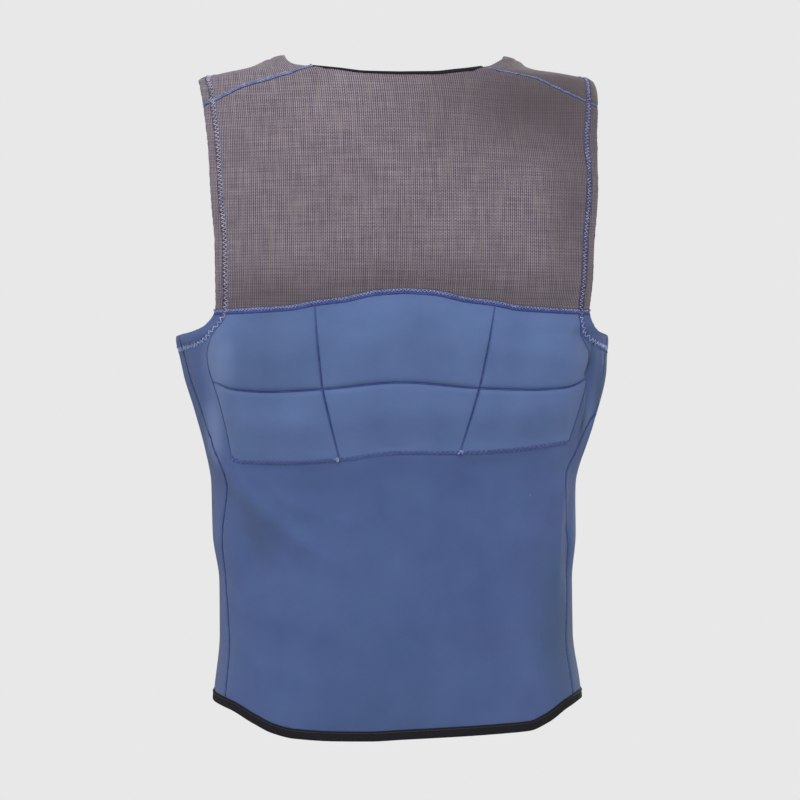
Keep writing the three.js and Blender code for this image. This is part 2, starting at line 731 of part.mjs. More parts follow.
// The zip runs down the middle of the front, one solid with its slider and pull
function frontZip() {
  const [top, seam, bottom] = [neckCorner.level, frontSeamCurve(1).level, hemCorner.level];
  const yokeLevels = frontYokeRows - neckRows;
  const edge = zipWidth / 2;
  const floor = -zipRecess - zipTape;
  const crest = -zipRecess + teethHeight;
  const profile = [
    [-edge, floor],
    [edge, floor],
    [edge, -zipRecess],
    [teethWidth / 2, -zipRecess],
    [teethWidth / 2, crest],
    [-teethWidth / 2, crest],
    [-teethWidth / 2, -zipRecess],
    [-edge, -zipRecess],
  ];
  const levels = [
    ...Array.from({ length: yokeLevels }, (_, i) => top + ((seam - top) * i) / yokeLevels),
    ...Array.from({ length: sideRows + 1 }, (_, i) => seam + ((bottom - seam) * i) / sideRows),
  ];
  const stations = levels.map((level) => {
    const place = { round: 180, level };
    const normal = normalAt(place);
    return { point: pointAt(place), first: new THREE.Vector3(1, 0, 0), second: normal };
  });
  const slider = new THREE.Shape()
    .moveTo(-sliderWidth / 2, 0)
    .lineTo(sliderWidth / 2, 0)
    .lineTo(sliderWidth / 3, -sliderHeight)
    .lineTo(-sliderWidth / 3, -sliderHeight)
    .closePath();
  const tongue = new THREE.Shape()
    .moveTo(-pullWidth / 2, -sliderHeight / 2)
    .lineTo(pullWidth / 2, -sliderHeight / 2)
    .lineTo(pullWidth / 2, -pullLength + pullWidth / 2)
    .absarc(0, -pullLength + pullWidth / 2, pullWidth / 2, 0, -Math.PI, true)
    .closePath();
  const hole = new THREE.Path().absarc(0, -pullLength + pullWidth / 2, pullHole, 0, 2 * Math.PI);
  tongue.holes.push(hole);
  const seat = { round: 180, level: top + sliderHeight / 2 };
  const start = { round: 180, level: top + sliderDrop };
  const place = (shape, lift, thickness) => {
    const normal = normalAt(seat);
    const across = new THREE.Vector3(-1, 0, 0);
    const up = new THREE.Vector3().crossVectors(normal, across);
    const frame = new THREE.Matrix4()
      .makeBasis(across, up, normal)
      .setPosition(lifted(start, lift));
    const plate = new THREE.ExtrudeGeometry(shape, {
      depth: thickness,
      bevelEnabled: false,
      curveSegments: 8,
    });
    return asManifold(merged(plate.applyMatrix4(frame)));
  };
  const body = place(slider, crest - zipBite, sliderThickness + zipBite);
  const tab = place(tongue, crest + sliderThickness - pullBite, pullThickness + pullBite);
  return fromManifold(asManifold(strip(stations, profile)).add(body).add(tab));
}

// A geometry with its shared vertices merged, as a boolean needs it
function merged(geometry) {
  const position = geometry.getAttribute("position");
  const seen = new Map();
  const vertices = [];
  const index = [];
  for (let i = 0; i < position.count; i += 1) {
    const point = new THREE.Vector3().fromBufferAttribute(position, i);
    const key = [point.x, point.y, point.z].map((c) => c.toFixed(4)).join();
    if (!seen.has(key)) {
      seen.set(key, vertices.length);
      vertices.push(point);
    }
    index.push(seen.get(key));
  }
  const triangles = [];
  for (let i = 0; i < index.length; i += 3) triangles.push(index.slice(i, i + 3));
  return solid(vertices, triangles);
}

const vest = new THREE.Group();

function addPiece(name, geometry, finish) {
  const mesh = new THREE.Mesh(geometry, new THREE.MeshStandardMaterial(finish));
  mesh.name = name;
  vest.add(mesh);
}

addPiece("back_yoke", backYoke(), grey);
addPiece("back_panel", backPanel(), blue);
for (const row of ["upper", "lower"])
  for (const [slot, name] of [
    [-1, "left"],
    [0, "centre"],
    [1, "right"],
  ])
    addPiece(`back_pad_${row}_${name}`, pad(row, slot), blue);
for (const [hand, name] of [
  [-1, "left"],
  [1, "right"],
]) {
  addPiece(`front_yoke_${name}`, frontYoke(hand), grey);
  addPiece(`front_panel_${name}`, frontPanel(hand), blue);
}
addPiece("neck_binding", neckBinding(), black);
addPiece("hem_binding", hemBinding(), black);
addPiece("front_zip", frontZip(), black);

export default vest;
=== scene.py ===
"""An impact vest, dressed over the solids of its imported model.

Everything is in metres and in the frame of the model: +Z is up, the padded back faces -Y
and +X is the wearer's right. The wall of the vest is one smooth form. A place on it is two
numbers: degrees round from the middle of the back, and the level down the side of the body.
"""

import logging
import math
from collections.abc import Callable, Sequence
from dataclasses import dataclass, field
from enum import Enum
from itertools import pairwise

import bmesh
import bpy
import numpy as np
from bmesh.types import BMEdge, BMesh, BMVert
from bpy.types import Material, Node, NodeSocket, NodeTree, Object
from mathutils import Matrix, Vector
from mathutils.kdtree import KDTree


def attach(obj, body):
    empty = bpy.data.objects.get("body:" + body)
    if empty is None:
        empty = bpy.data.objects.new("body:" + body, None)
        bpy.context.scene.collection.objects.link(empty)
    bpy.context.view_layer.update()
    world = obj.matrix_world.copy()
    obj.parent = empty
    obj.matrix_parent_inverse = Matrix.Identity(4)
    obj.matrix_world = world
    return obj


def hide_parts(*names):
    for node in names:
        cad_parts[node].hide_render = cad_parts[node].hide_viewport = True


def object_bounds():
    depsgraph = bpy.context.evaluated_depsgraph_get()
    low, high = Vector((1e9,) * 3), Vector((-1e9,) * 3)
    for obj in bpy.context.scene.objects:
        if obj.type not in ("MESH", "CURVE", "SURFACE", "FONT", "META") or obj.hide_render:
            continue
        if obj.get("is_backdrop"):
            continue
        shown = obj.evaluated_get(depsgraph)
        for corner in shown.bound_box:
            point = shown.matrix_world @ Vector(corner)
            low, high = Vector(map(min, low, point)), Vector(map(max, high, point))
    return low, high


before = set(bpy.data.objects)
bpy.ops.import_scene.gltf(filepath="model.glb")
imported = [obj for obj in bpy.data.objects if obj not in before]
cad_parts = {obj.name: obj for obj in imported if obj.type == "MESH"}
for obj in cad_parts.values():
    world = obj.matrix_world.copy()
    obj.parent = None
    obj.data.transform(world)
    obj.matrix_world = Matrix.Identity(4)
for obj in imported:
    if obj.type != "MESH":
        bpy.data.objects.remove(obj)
CAD_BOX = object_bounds()

log = logging.getLogger("vest")

Array = np.ndarray
Curve = Callable[[Array], Array]
Colour = tuple[float, float, float]
Spots = tuple[tuple[tuple[float, ...], tuple[float, ...], float], ...]
Settings = dict[str, object]
Inputs = dict[str | int, object]

MM = 0.001
ROOT = "root"
SEED = 7

# Sections of the body from the neck to the hem: down as a share of the body length, width
# and sway of half the chest width, back and front of half the chest depth, and the exponent.
SECTIONS = (
    (-0.03, 0.47, -0.032, 0.53, 0.47, 2.1),
    (0, 0.516, -0.032, 0.56, 0.51, 2.1),
    (0.0085, 0.592, -0.036, 0.58, 0.52, 2.15),
    (0.0165, 0.635, -0.046, 0.605, 0.535, 2.15),
    (0.023, 0.7, -0.048, 0.63, 0.55, 2.2),
    (0.0295, 0.82, -0.03, 0.654, 0.564, 2.2),
    (0.0375, 0.91, -0.02, 0.68, 0.578, 2.2),
    (0.0723, 0.968, -0.006, 0.763, 0.644, 2.3),
    (0.132, 0.994, 0.003, 0.864, 0.746, 2.35),
    (0.217, 1.01, 0.008, 0.949, 0.873, 2.4),
    (0.319, 1.01, 0.005, 0.99, 0.983, 2.4),
    (0.376, 1.005, -0.003, 0.985, 1.01, 2.4),
    (0.4, 1.002, -0.014, 0.98, 1.015, 2.4),
    (0.418, 0.995, -0.036, 0.974, 1.02, 2.4),
    (0.4715, 0.974, -0.024, 0.955, 1.01, 2.35),
    (0.525, 0.928, -0.018, 0.93, 0.995, 2.3),
    (0.585, 0.873, -0.024, 0.9, 0.97, 2.3),
    (0.637, 0.84, -0.03, 0.87, 0.95, 2.3),
    (0.71, 0.836, -0.026, 0.84, 0.92, 2.3),
    (0.7786, 0.813, -0.02, 0.82, 0.89, 2.3),
    (0.856, 0.813, -0.018, 0.83, 0.88, 2.3),
    (0.944, 0.845, -0.012, 0.87, 0.89, 2.3),
    (1.03, 0.86, -0.016, 0.885, 0.9, 2.3),
)

# The armhole: down, and how far out its back and its front edge reach
ARMHOLE = (
    (0.0375, 1, 1), (0.045, 0.974, 0.972), (0.08, 0.926, 0.91), (0.15, 0.885, 0.845),
    (0.235, 0.861, 0.8), (0.29, 0.846, 0.79), (0.35, 0.843, 0.8), (0.376, 0.85, 0.82),
    (0.39, 0.862, 0.84), (0.403, 0.885, 0.87), (0.411, 0.925, 0.92), (0.4165, 1, 1),
)

# Seams and edges as pairs: across or degrees round against down, or down against reach
SHOULDER_RIGHT = ((0.5, 0.031), (0.6, 0.038), (0.7, 0.0515), (0.82, 0.0685))
SHOULDER_LEFT = ((0.486, 0.0352), (0.573, 0.0436), (0.71, 0.0545), (0.82, 0.07))
SHOULDER_TIP = 0.08
NECK_EDGE = (
    (0, 0.0362), (20, 0.0352), (35, 0.0305), (49, 0.0248), (54, 0.022), (60, 0.0165), (66, 0.0095),
    (72, 0.0045), (80, 0.001), (90, 0), (100, 0.0015), (110, 0.006), (120, 0.014), (130, 0.027),
    (140, 0.046), (150, 0.068), (160, 0.092), (170, 0.11), (180, 0.116),
)
HEM_EDGE = (
    (0, 0.9964, 0.9964), (15, 0.9988, 0.9943), (30, 0.9989, 0.9923), (45, 0.9966, 0.99),
    (53, 0.99, 0.9885), (60, 0.978, 0.979), (70, 0.9615, 0.96), (80, 0.955, 0.952),
    (90, 0.952, 0.951), (110, 0.95, 0.95), (140, 0.948, 0.948), (180, 0.948, 0.948),
)
YOKE_SEAM = (
    (0, 0.355), (0.13, 0.358), (0.27, 0.3675), (0.4, 0.3725), (0.51, 0.379), (0.64, 0.3815),
)
FRONT_SEAM = ((0, 0.352), (0.3, 0.358), (0.6, 0.37))
YOKE_END_BACK = 0.384
YOKE_END_FRONT = 0.378
SIDE_TOP = 0.415
SIDE_SEAM = (
    (0.46, 0.97), (0.52, 0.965), (0.58, 0.945), (0.622, 0.905), (0.655, 0.92), (0.7, 0.945),
    (0.77, 0.96), (0.82, 0.95), (0.9, 0.94), (1.02, 0.935),
)
PAD_LEFT = ((0.384, 0.79), (0.408, 0.81), (0.43, 0.84), (0.446, 0.856), (0.48, 0.862), (0.61, 0.86))
PAD_RIGHT = ((0.384, 0.793), (0.408, 0.819), (0.43, 0.86), (0.446, 0.884), (0.48, 0.88), (0.61, 0.87))
MIDDLE_GROOVE = (
    (-0.86, 0.481), (-0.73, 0.4945), (-0.58, 0.4985), (-0.345, 0.495), (0, 0.4855),
    (0.345, 0.4935), (0.58, 0.4955), (0.73, 0.492), (0.86, 0.479),
)
BOTTOM_SEAM = (
    (-0.775, 0.585), (-0.7, 0.6), (-0.52, 0.601), (-0.27, 0.596), (0, 0.5855), (0.27, 0.586),
    (0.52, 0.5815), (0.78, 0.571),
)


class Labelled(Enum):
    """A choice that goes into the names of pieces."""

    @property
    def label(self) -> str:
        """Its part of the name."""
        return self.name.lower()


class Side(Labelled):
    """One hand of the vest, as the photograph and its wearer have it."""

    LEFT = -1
    RIGHT = 1


class Row(Labelled):
    """A row of pads across the back."""

    UPPER = 0
    LOWER = 1


class Slot(Labelled):
    """A pad's place in its row."""

    LEFT = -1
    CENTRE = 0
    RIGHT = 1


class SmoothCurve:
    """A smooth curve through points, without overshoot between them."""

    def __init__(self, xs: Sequence[float], ys: Sequence[float]) -> None:
        """Works out the slopes at the points.

        Args:
            xs: Where the points are, rising.
            ys: The curve's values there.
        """
        self.xs = np.asarray(xs, float)
        self.ys = np.asarray(ys, float)
        self.slopes = np.diff(self.ys) / np.diff(self.xs)
        before, after = self.slopes[:-1], self.slopes[1:]
        level = before * after <= 0
        total = np.where(level, 1, before + after)
        inner = np.where(level, 0, 2 * before * after / total)
        self.tangents = np.concatenate([self.slopes[:1], inner, self.slopes[-1:]])

    def __call__(self, at: Array) -> Array:
        """Reads the curve.

        Args:
            at: Where.

        Returns:
            Its values there.
        """
        at = np.asarray(at, float)
        i = np.clip(np.searchsorted(self.xs, at) - 1, 0, len(self.xs) - 2)
        span = self.xs[i + 1] - self.xs[i]
        k = (at - self.xs[i]) / span
        bend = self.tangents[i] * (1 - k) - self.tangents[i + 1] * k
        bend = bend - self.slopes[i] * (1 - 2 * k)
        return self.ys[i] * (1 - k) + self.ys[i + 1] * k + span * k * (1 - k) * bend


def smooth_table(rows: Sequence[Sequence[float]], column: int = 1) -> SmoothCurve:
    """A smooth curve through one column of a table against its first one."""
    table = np.array(rows, float)
    return SmoothCurve(table[:, 0], table[:, column])


def reversed_way(curve: Curve) -> Curve:
    """The same curve, travelled from its end."""
    return lambda k: curve(1 - np.asarray(k, float))


def between(start: float, end: float, k: Array) -> Array:
    """The value at a share of the way from one value to another."""
    return start + (end - start) * np.asarray(k, float)


def paired(first: Array, second: Array) -> Array:
    """Two arrays side by side in a new last axis."""
    return np.stack(np.broadcast_arrays(first, second), axis=-1)


def mirrored(curve: Curve) -> Curve:
    """The same curve on the other hand of the body."""
    return lambda k: curve(k) * np.array([-1.0, 1.0])


def joined(first: Curve, second: Curve, share: float) -> Curve:
    """Two curves end to end.

    Args:
        first: The curve at the start.
        second: The curve at the end.
        share: The share of the way that the first takes.

    Returns:
        The joined curve.
    """

    def curve(k: Array) -> Array:
        """The place at a share of the way."""
        k = np.asarray(k, float)
        before = first(np.clip(k / share, 0, 1))
        after = second(np.clip((k - share) / (1 - share), 0, 1))
        return np.where((k < share)[..., None], before, after)

    return curve


def crowded(count: int, crowding: float = 0.86) -> Array:
    """Shares of the way from 0 to 1 that lie closer together near both ends."""
    k = np.linspace(0, 1, count)
    return k - crowding * np.sin(2 * np.pi * k) / (2 * np.pi)


def hump(distance: Array, width: float) -> Array:
    """A smooth bump of height 1 that falls off over a width."""
    return np.exp(-((distance / width) ** 2))


def rolled(away: Array, radius: float) -> Array:
    """A quarter-round that rises from 0 at an edge to 1 at a radius from it."""
    rest = np.clip(1 - away / radius, 0, 1)
    return np.sqrt(1 - rest**2)


def length_of(points: Array) -> Array:
    """How far along a run of points each one lies."""
    steps = np.linalg.norm(np.diff(points, axis=0), axis=1)
    return np.concatenate([[0.0], np.cumsum(steps)])


class VestForm:
    """The smooth outer face of the wall, and the seams and edges that lie on it."""

    body_length = 0.588
    chest_width = 0.380
    chest_depth = 0.236
    wall = 0.003
    rest_share = 0.017
    front_lean = -0.016
    front_fade = (110.0, 170.0)
    zip_half = 0.0093
    pace_steps = 240

    def __init__(self) -> None:
        """Reads the tables."""
        self.half = self.chest_width / 2
        self.depth = self.chest_depth / 2
        rows = np.array(SECTIONS, float)
        down, width = rows[:, 0], rows[:, 1]
        steps = np.hypot(np.diff(down) * self.body_length, np.diff(width) * self.half)
        level = np.concatenate([[0.0], np.cumsum(steps)])
        self.last_level = float(level[-1])
        self.width_at, self.sway_at, self.back_at, self.front_at, self.square_at = (
            SmoothCurve(level, rows[:, column]) for column in range(1, 6)
        )
        self.down_at = SmoothCurve(level, down)
        self.level_at = SmoothCurve(down, level)
        self.armhole_back = smooth_table(ARMHOLE, 1)
        self.armhole_front = smooth_table(ARMHOLE, 2)
        self.neck_down = smooth_table(NECK_EDGE)
        self.shoulders = {
            Side.LEFT: self.shoulder_seam(0.37, SHOULDER_LEFT),
            Side.RIGHT: self.shoulder_seam(0.4, SHOULDER_RIGHT),
        }
        self.hem_left = smooth_table(HEM_EDGE, 1)
        self.hem_right = smooth_table(HEM_EDGE, 2)
        self.yoke_end = self.armhole_across(YOKE_END_BACK)
        self.yoke_table = smooth_table((*YOKE_SEAM, (self.yoke_end, YOKE_END_BACK)))
        self.front_end = self.armhole_across(YOKE_END_FRONT, True)
        self.front_down = smooth_table((*FRONT_SEAM, (self.front_end, YOKE_END_FRONT)))
        top = (SIDE_TOP, float(self.armhole_back(SIDE_TOP)))
        self.side_reach = smooth_table((top, *SIDE_SEAM))
        self.pad_reach = {-1: smooth_table(PAD_LEFT), 1: smooth_table(PAD_RIGHT)}
        self.middle_down = smooth_table(MIDDLE_GROOVE)
        self.bottom_down = smooth_table(BOTTOM_SEAM)
        self.zip_across = self.zip_half / self.half
        self.neck_seam_round = {side: float(self.shoulders[side](0.0)[0]) for side in Side}
        self.neck_corner = self.zip_place(self.neck_place(180.0)[1])
        self.hem_corner = self.zip_place(self.hem_place(180.0)[1])

    def armhole_across(self, down: float, on_front: bool = False) -> float:
        """How far across the armhole's edge lies at a height."""
        reach = self.armhole_front if on_front else self.armhole_back
        return float(reach(down) * self.width_at(self.level_at(down)))

    def points(self, places: Array) -> Array:
        """The points of the wall's outer face.

        Args:
            places: Degrees round and levels.

        Returns:
            Points in metres.
        """
        turn = np.radians(places[..., 0])
        level = places[..., 1]
        on_back = np.cos(turn) > 0
        deep = np.where(on_back, self.back_at(level), self.front_at(level)) * self.depth
        wide = self.width_at(level) * self.half
        n = self.square_at(level)
        across = np.abs(np.sin(turn) / wide) ** n
        along = np.abs(np.cos(turn) / deep) ** n
        r = (across + along) ** (-1 / n)
        height = (self.rest_share - self.down_at(level)) * self.body_length + self.wall
        start, end = self.front_fade
        ease = np.clip((np.abs(places[..., 0]) - start) / (end - start), 0.0, 1.0)
        ahead = ease * ease * (3.0 - 2.0 * ease)
        lean = self.front_lean * self.down_at(level)
        sway = self.sway_at(level) * (1.0 - ahead) + lean * ahead
        x = sway * self.half + r * np.sin(turn)
        return np.stack([x, -r * np.cos(turn), height], axis=-1)

    def slopes(self, places: Array) -> tuple[Array, Array]:
        """How the surface's points move for a degree round and for a metre of level."""
        turn, step = np.array([0.5, 0.0]), np.array([0.0, 0.01 * self.half])
        over = self.points(places + turn) - self.points(places - turn)
        down = self.points(places + step) - self.points(places - step)
        return over / (2 * turn[0]), down / (2 * step[1])

    def normals(self, places: Array) -> Array:
        """The outward normals."""
        over, down = self.slopes(places)
        normal = np.cross(down, over)
        return normal / np.linalg.norm(normal, axis=-1, keepdims=True)

    def moved(self, places: Array, shift: Array) -> Array:
        """The places that lie a small shift away over the surface.

        Args:
            places: Where to start.
            shift: Vectors in metres.

        Returns:
            The new places.
        """
        over, down = self.slopes(places)
        aa, ab, bb = ((p * q).sum(-1) for p, q in ((over, over), (over, down), (down, down)))
        sa, sb = (shift * over).sum(-1), (shift * down).sum(-1)
        whole = aa * bb - ab * ab
        step = np.stack([(sa * bb - sb * ab) / whole, (sb * aa - sa * ab) / whole], axis=-1)
        return places + step

    def round_at(self, reach: Array, level: Array, on_front: bool = False) -> Array:
        """Degrees round for a share of the half width at a level."""
        share = np.minimum(np.abs(reach), 1)
        n = self.square_at(level)
        deep = (-self.front_at(level) if on_front else self.back_at(level)) * self.depth
        y = deep * (1 - share**n) ** (1 / n)
        turn = np.arctan2(share * self.width_at(level) * self.half, y)
        return np.sign(reach) * np.degrees(turn)

    def place_reaching(self, reach: Array, down: Array, on_front: bool = False) -> Array:
        """The place for a share of the half width at a height."""
        level = self.level_at(down)
        around = self.round_at(reach, level, on_front)
        return paired(around, level)

    def place_across(self, across: Array, down: Array, on_front: bool = False) -> Array:
        """The place for a share of half the chest width and a height."""
        return self.place_reaching(across / self.width_at(self.level_at(down)), down, on_front)

    def paced(self, curve: Curve) -> Curve:
        """The same curve, travelled at an even pace over the surface."""
        shares = np.linspace(0, 1, self.pace_steps + 1)
        gone = length_of(self.points(curve(shares)))
        return lambda k: curve(np.interp(np.asarray(k, float) * gone[-1], gone, shares))

    def armhole_edge(self, start: float, end: float, on_front: bool) -> Curve:
        """One edge of the right armhole.

        Args:
            start: How far down it starts.
            end: How far down it ends.
            on_front: Whether it is the front edge.

        Returns:
            The edge.
        """
        reach = self.armhole_front if on_front else self.armhole_back
        top, bottom = ARMHOLE[0][0], ARMHOLE[-1][0]
        swing = [math.acos(1 - 2 * (down - top) / (bottom - top)) for down in (start, end)]

        def curve(k: Array) -> Array:
            """The place at a share of the way."""
            turn = between(*swing, k)
            down = top + (bottom - top) * (1 - np.cos(turn)) / 2
            return self.place_reaching(reach(down), down, on_front)

        return self.paced(curve)

    def across_curve(self, start: float, end: float, down: Curve, on_front: bool = False) -> Curve:
        """A seam that runs across between two shares of half the chest width."""

        def curve(k: Array) -> Array:
            """The place at a share of the way."""
            across = between(start, end, k)
            return self.place_across(across, down(across), on_front)

        return self.paced(curve)

    def shoulder_seam(self, start: float, middle: Sequence[tuple[float, float]]) -> Curve:
        """A shoulder seam from the neck to the armhole, on the right hand.

        Args:
            start: How far across it leaves the neck's edge.
            middle: Pairs of across and down between its ends.

        Returns:
            The seam.
        """
        down = middle[0][1]
        for _ in range(20):
            level = self.level_at(down)
            around = self.round_at(start / self.width_at(level), level)
            down = float(self.neck_down(around))
        tip = (self.armhole_across(SHOULDER_TIP), SHOULDER_TIP)
        table = smooth_table(((start, down), *middle, tip))
        return self.across_curve(start, tip[0], table)

    def yoke_curve(self) -> Curve:
        """The wavy seam across the back, from left to right."""
        return self.across_curve(-self.yoke_end, self.yoke_end, self.yoke_down)

    def yoke_down(self, across: Array) -> Array:
        """How far down the wavy seam lies."""
        return self.yoke_table(np.abs(across))

    def front_seam_curve(self) -> Curve:
        """The seam across the right front, from the armhole to the zip."""
        return self.across_curve(self.front_end, self.zip_across, self.front_down, True)

    def neck_place(self, around: Array) -> Array:
        """The place of the neck's edge at some degrees round."""
        level = self.level_at(self.neck_down(np.abs(around)))
        return paired(around, level)

    def neck_curve(self) -> Curve:
        """The edge of the back of the neck, from left to right."""
        start, end = -self.neck_seam_round[Side.LEFT], self.neck_seam_round[Side.RIGHT]
        return self.paced(lambda k: self.neck_place(between(start, end, k)))

    def neck_turn(self, side: Side) -> Curve:
        """The edge of the neck from a shoulder seam to the zip, on the right hand."""
        start, end = self.neck_seam_round[side], self.neck_corner[0]
        return self.paced(lambda k: self.neck_place(between(start, end, k)))

    def hem_place(self, around: Array) -> Array:
        """The place of the hem at some degrees round."""
        size = np.abs(around)
        down = np.where(np.asarray(around) < 0, self.hem_left(size), self.hem_right(size))
        return paired(around, self.level_at(down))

    def hem_between(self, start: float, end: float) -> Curve:
        """The hem between two places round the body."""
        return self.paced(lambda k: self.hem_place(between(start, end, k)))

    def hem_parts(self) -> list[Curve]:
        """The hem from the zip round to the zip, parted at the side seams."""
        ends = [self.side_curve(side)(np.array(1.0))[0] for side in Side]
        turns = (-self.hem_corner[0], *ends, self.hem_corner[0])
        return [self.hem_between(start, end) for start, end in pairwise(turns)]

    def side_curve(self, side: Side) -> Curve:
        """A side seam, from the armhole to the hem."""

        def place(down: Array) -> Array:
            """The seam's place at a height."""
            return self.place_reaching(side.value * self.side_reach(down), down)

        bottom = 0.95
        for _ in range(20):
            around = place(np.array(bottom))[0]
            bottom = float(self.down_at(self.hem_place(around)[1]))
        return self.paced(lambda k: place(between(SIDE_TOP, bottom, k)))

    def zip_place(self, level: Array) -> Array:
        """The place of the right edge of the zip at a level."""
        around = self.round_at(self.zip_across / self.width_at(level), level, True)
        return paired(around, level)

    def zip_edge(self, start: float, end: float) -> Curve:
        """The right edge of the zip between two levels."""
        return lambda k: self.zip_place(between(start, end, k))

    def line_end(self, line: Curve, hand: int) -> float:
        """Where a level line ends at the outer edge of the padded field."""
        across = 0.8 * hand
        for _ in range(20):
            down = float(line(across))
            across = hand * float(self.pad_reach[hand](down) * self.width_at(self.level_at(down)))
        return across

    def sheet(self, us: Array, vs: Array, *edges: Curve) -> Array:
        """The places of a sheet between four edges.

        Args:
            us: Shares of the way across.
            vs: Shares of the way down.
            edges: Its top, bottom, left and right edge. Opposite edges run the same way.

        Returns:
            The places, by row and column.
        """
        top, bottom, left, right = edges
        u, v = us[None, :, None], vs[:, None, None]
        down = top(us)[None] * (1 - v) + bottom(us)[None] * v
        over = left(vs)[:, None] * (1 - u) + right(vs)[:, None] * u
        ends = [edge(np.array([0.0, 1.0])) for edge in (top, bottom)]
        above, below = (end[0] * (1 - u) + end[1] * u for end in ends)
        return down + over - above * (1 - v) - below * v


class Line:
    """A seam, edge or fold as points on the surface, to measure distances from."""

    reach = 0.06

    def __init__(self, points: Array) -> None:
        """Builds the search tree.

        Args:
            points: Points close together along the line.
        """
        self.points = points
        self.gone = length_of(points)
        self.tree = KDTree(len(points))
        for i, point in enumerate(points):
            self.tree.insert(point, i)
        self.tree.balance()

    def near(self, points: Array) -> tuple[Array, Array]:
        """How far points lie from the line.

        Args:
            points: The points, in any shape.

        Returns:
            Their distances, and how far along the line the nearest point of it lies.
        """
        flat = points.reshape(-1, 3)
        low, high = self.points.min(0) - self.reach, self.points.max(0) + self.reach
        inside = ((flat > low) & (flat < high)).all(1)
        distance = np.full(len(flat), 1.0)
        along = np.zeros(len(flat))
        for i in np.flatnonzero(inside):
            _, index, distance[i] = self.tree.find(flat[i])
            along[i] = self.gone[index]
        return distance.reshape(points.shape[:-1]), along.reshape(points.shape[:-1])


@dataclass(frozen=True)
class Fold:
    """A soft fold: its path in pairs of across and down, its height and width in millimetres."""

    path: tuple[tuple[float, float], ...]
    height: float
    width: float
    on_front: bool = False


FOLDS = (
    Fold(((-0.86, 0.58), (-0.72, 0.63), (-0.5, 0.7), (-0.28, 0.75)), 4.2, 9),
    Fold(((-0.86, 0.57), (-0.76, 0.595), (-0.66, 0.64), (-0.6, 0.67)), 1.4, 3.5),
    Fold(((-0.72, 0.6), (-0.5, 0.655), (-0.1, 0.7)), 2.0, 9),
    Fold(((-0.74, 0.66), (-0.69, 0.71), (-0.58, 0.79)), -5.0, 15),
    Fold(((-0.74, 0.604), (-0.5, 0.612), (-0.24, 0.612)), -2.8, 8),
    Fold(((0.28, 0.602), (0.5, 0.598), (0.76, 0.584)), -2.0, 6),
    Fold(((0.775, 0.61), (0.755, 0.655), (0.73, 0.71), (0.72, 0.8)), 2.6, 6),
    Fold(((0.83, 0.62), (0.805, 0.66), (0.785, 0.71), (0.775, 0.8)), -2.6, 6),
    Fold(((0.78, 0.61), (0.7, 0.66), (0.63, 0.72)), 2.4, 8),
    Fold(((-0.93, 0.44), (-0.885, 0.5), (-0.84, 0.57)), 2.6, 6),
    Fold(((-0.74, 0.39), (-0.8, 0.43), (-0.85, 0.48)), 3.4, 9),
    Fold(((0.9, 0.42), (0.872, 0.47), (0.862, 0.52), (0.82, 0.58)), -4.2, 3.8),
    Fold(((0.94, 0.44), (0.915, 0.49), (0.88, 0.55), (0.85, 0.6)), 3.0, 4),
    Fold(((0.835, 0.482), (0.86, 0.468), (0.89, 0.455)), -3.0, 3),
    Fold(((0.3, 0.66), (0.45, 0.76), (0.5, 0.86)), 1.8, 16),
    Fold(((-0.2, 0.68), (-0.3, 0.78), (-0.32, 0.88)), 1.6, 18),
    Fold(((0.3, 0.075), (0.55, 0.1), (0.75, 0.125), (0.86, 0.16)), -9.0, 30),
    Fold(((-0.5, 0.085), (-0.7, 0.11), (-0.84, 0.14)), -1.2, 18),
    Fold(((-0.75, 0.5), (-0.55, 0.55), (-0.3, 0.57)), 1.2, 14, True),
    Fold(((0.75, 0.5), (0.5, 0.56), (0.3, 0.59)), 1.4, 14, True),
    Fold(((-0.7, 0.62), (-0.4, 0.68), (-0.2, 0.7)), -1.6, 16, True),
    Fold(((0.68, 0.64), (0.42, 0.7), (0.2, 0.73)), -1.6, 16, True),
    Fold(((-0.6, 0.4), (-0.4, 0.42), (-0.15, 0.43)), -1.2, 15, True),
    Fold(((0.6, 0.4), (0.4, 0.425), (0.15, 0.44)), -1.2, 15, True),
)


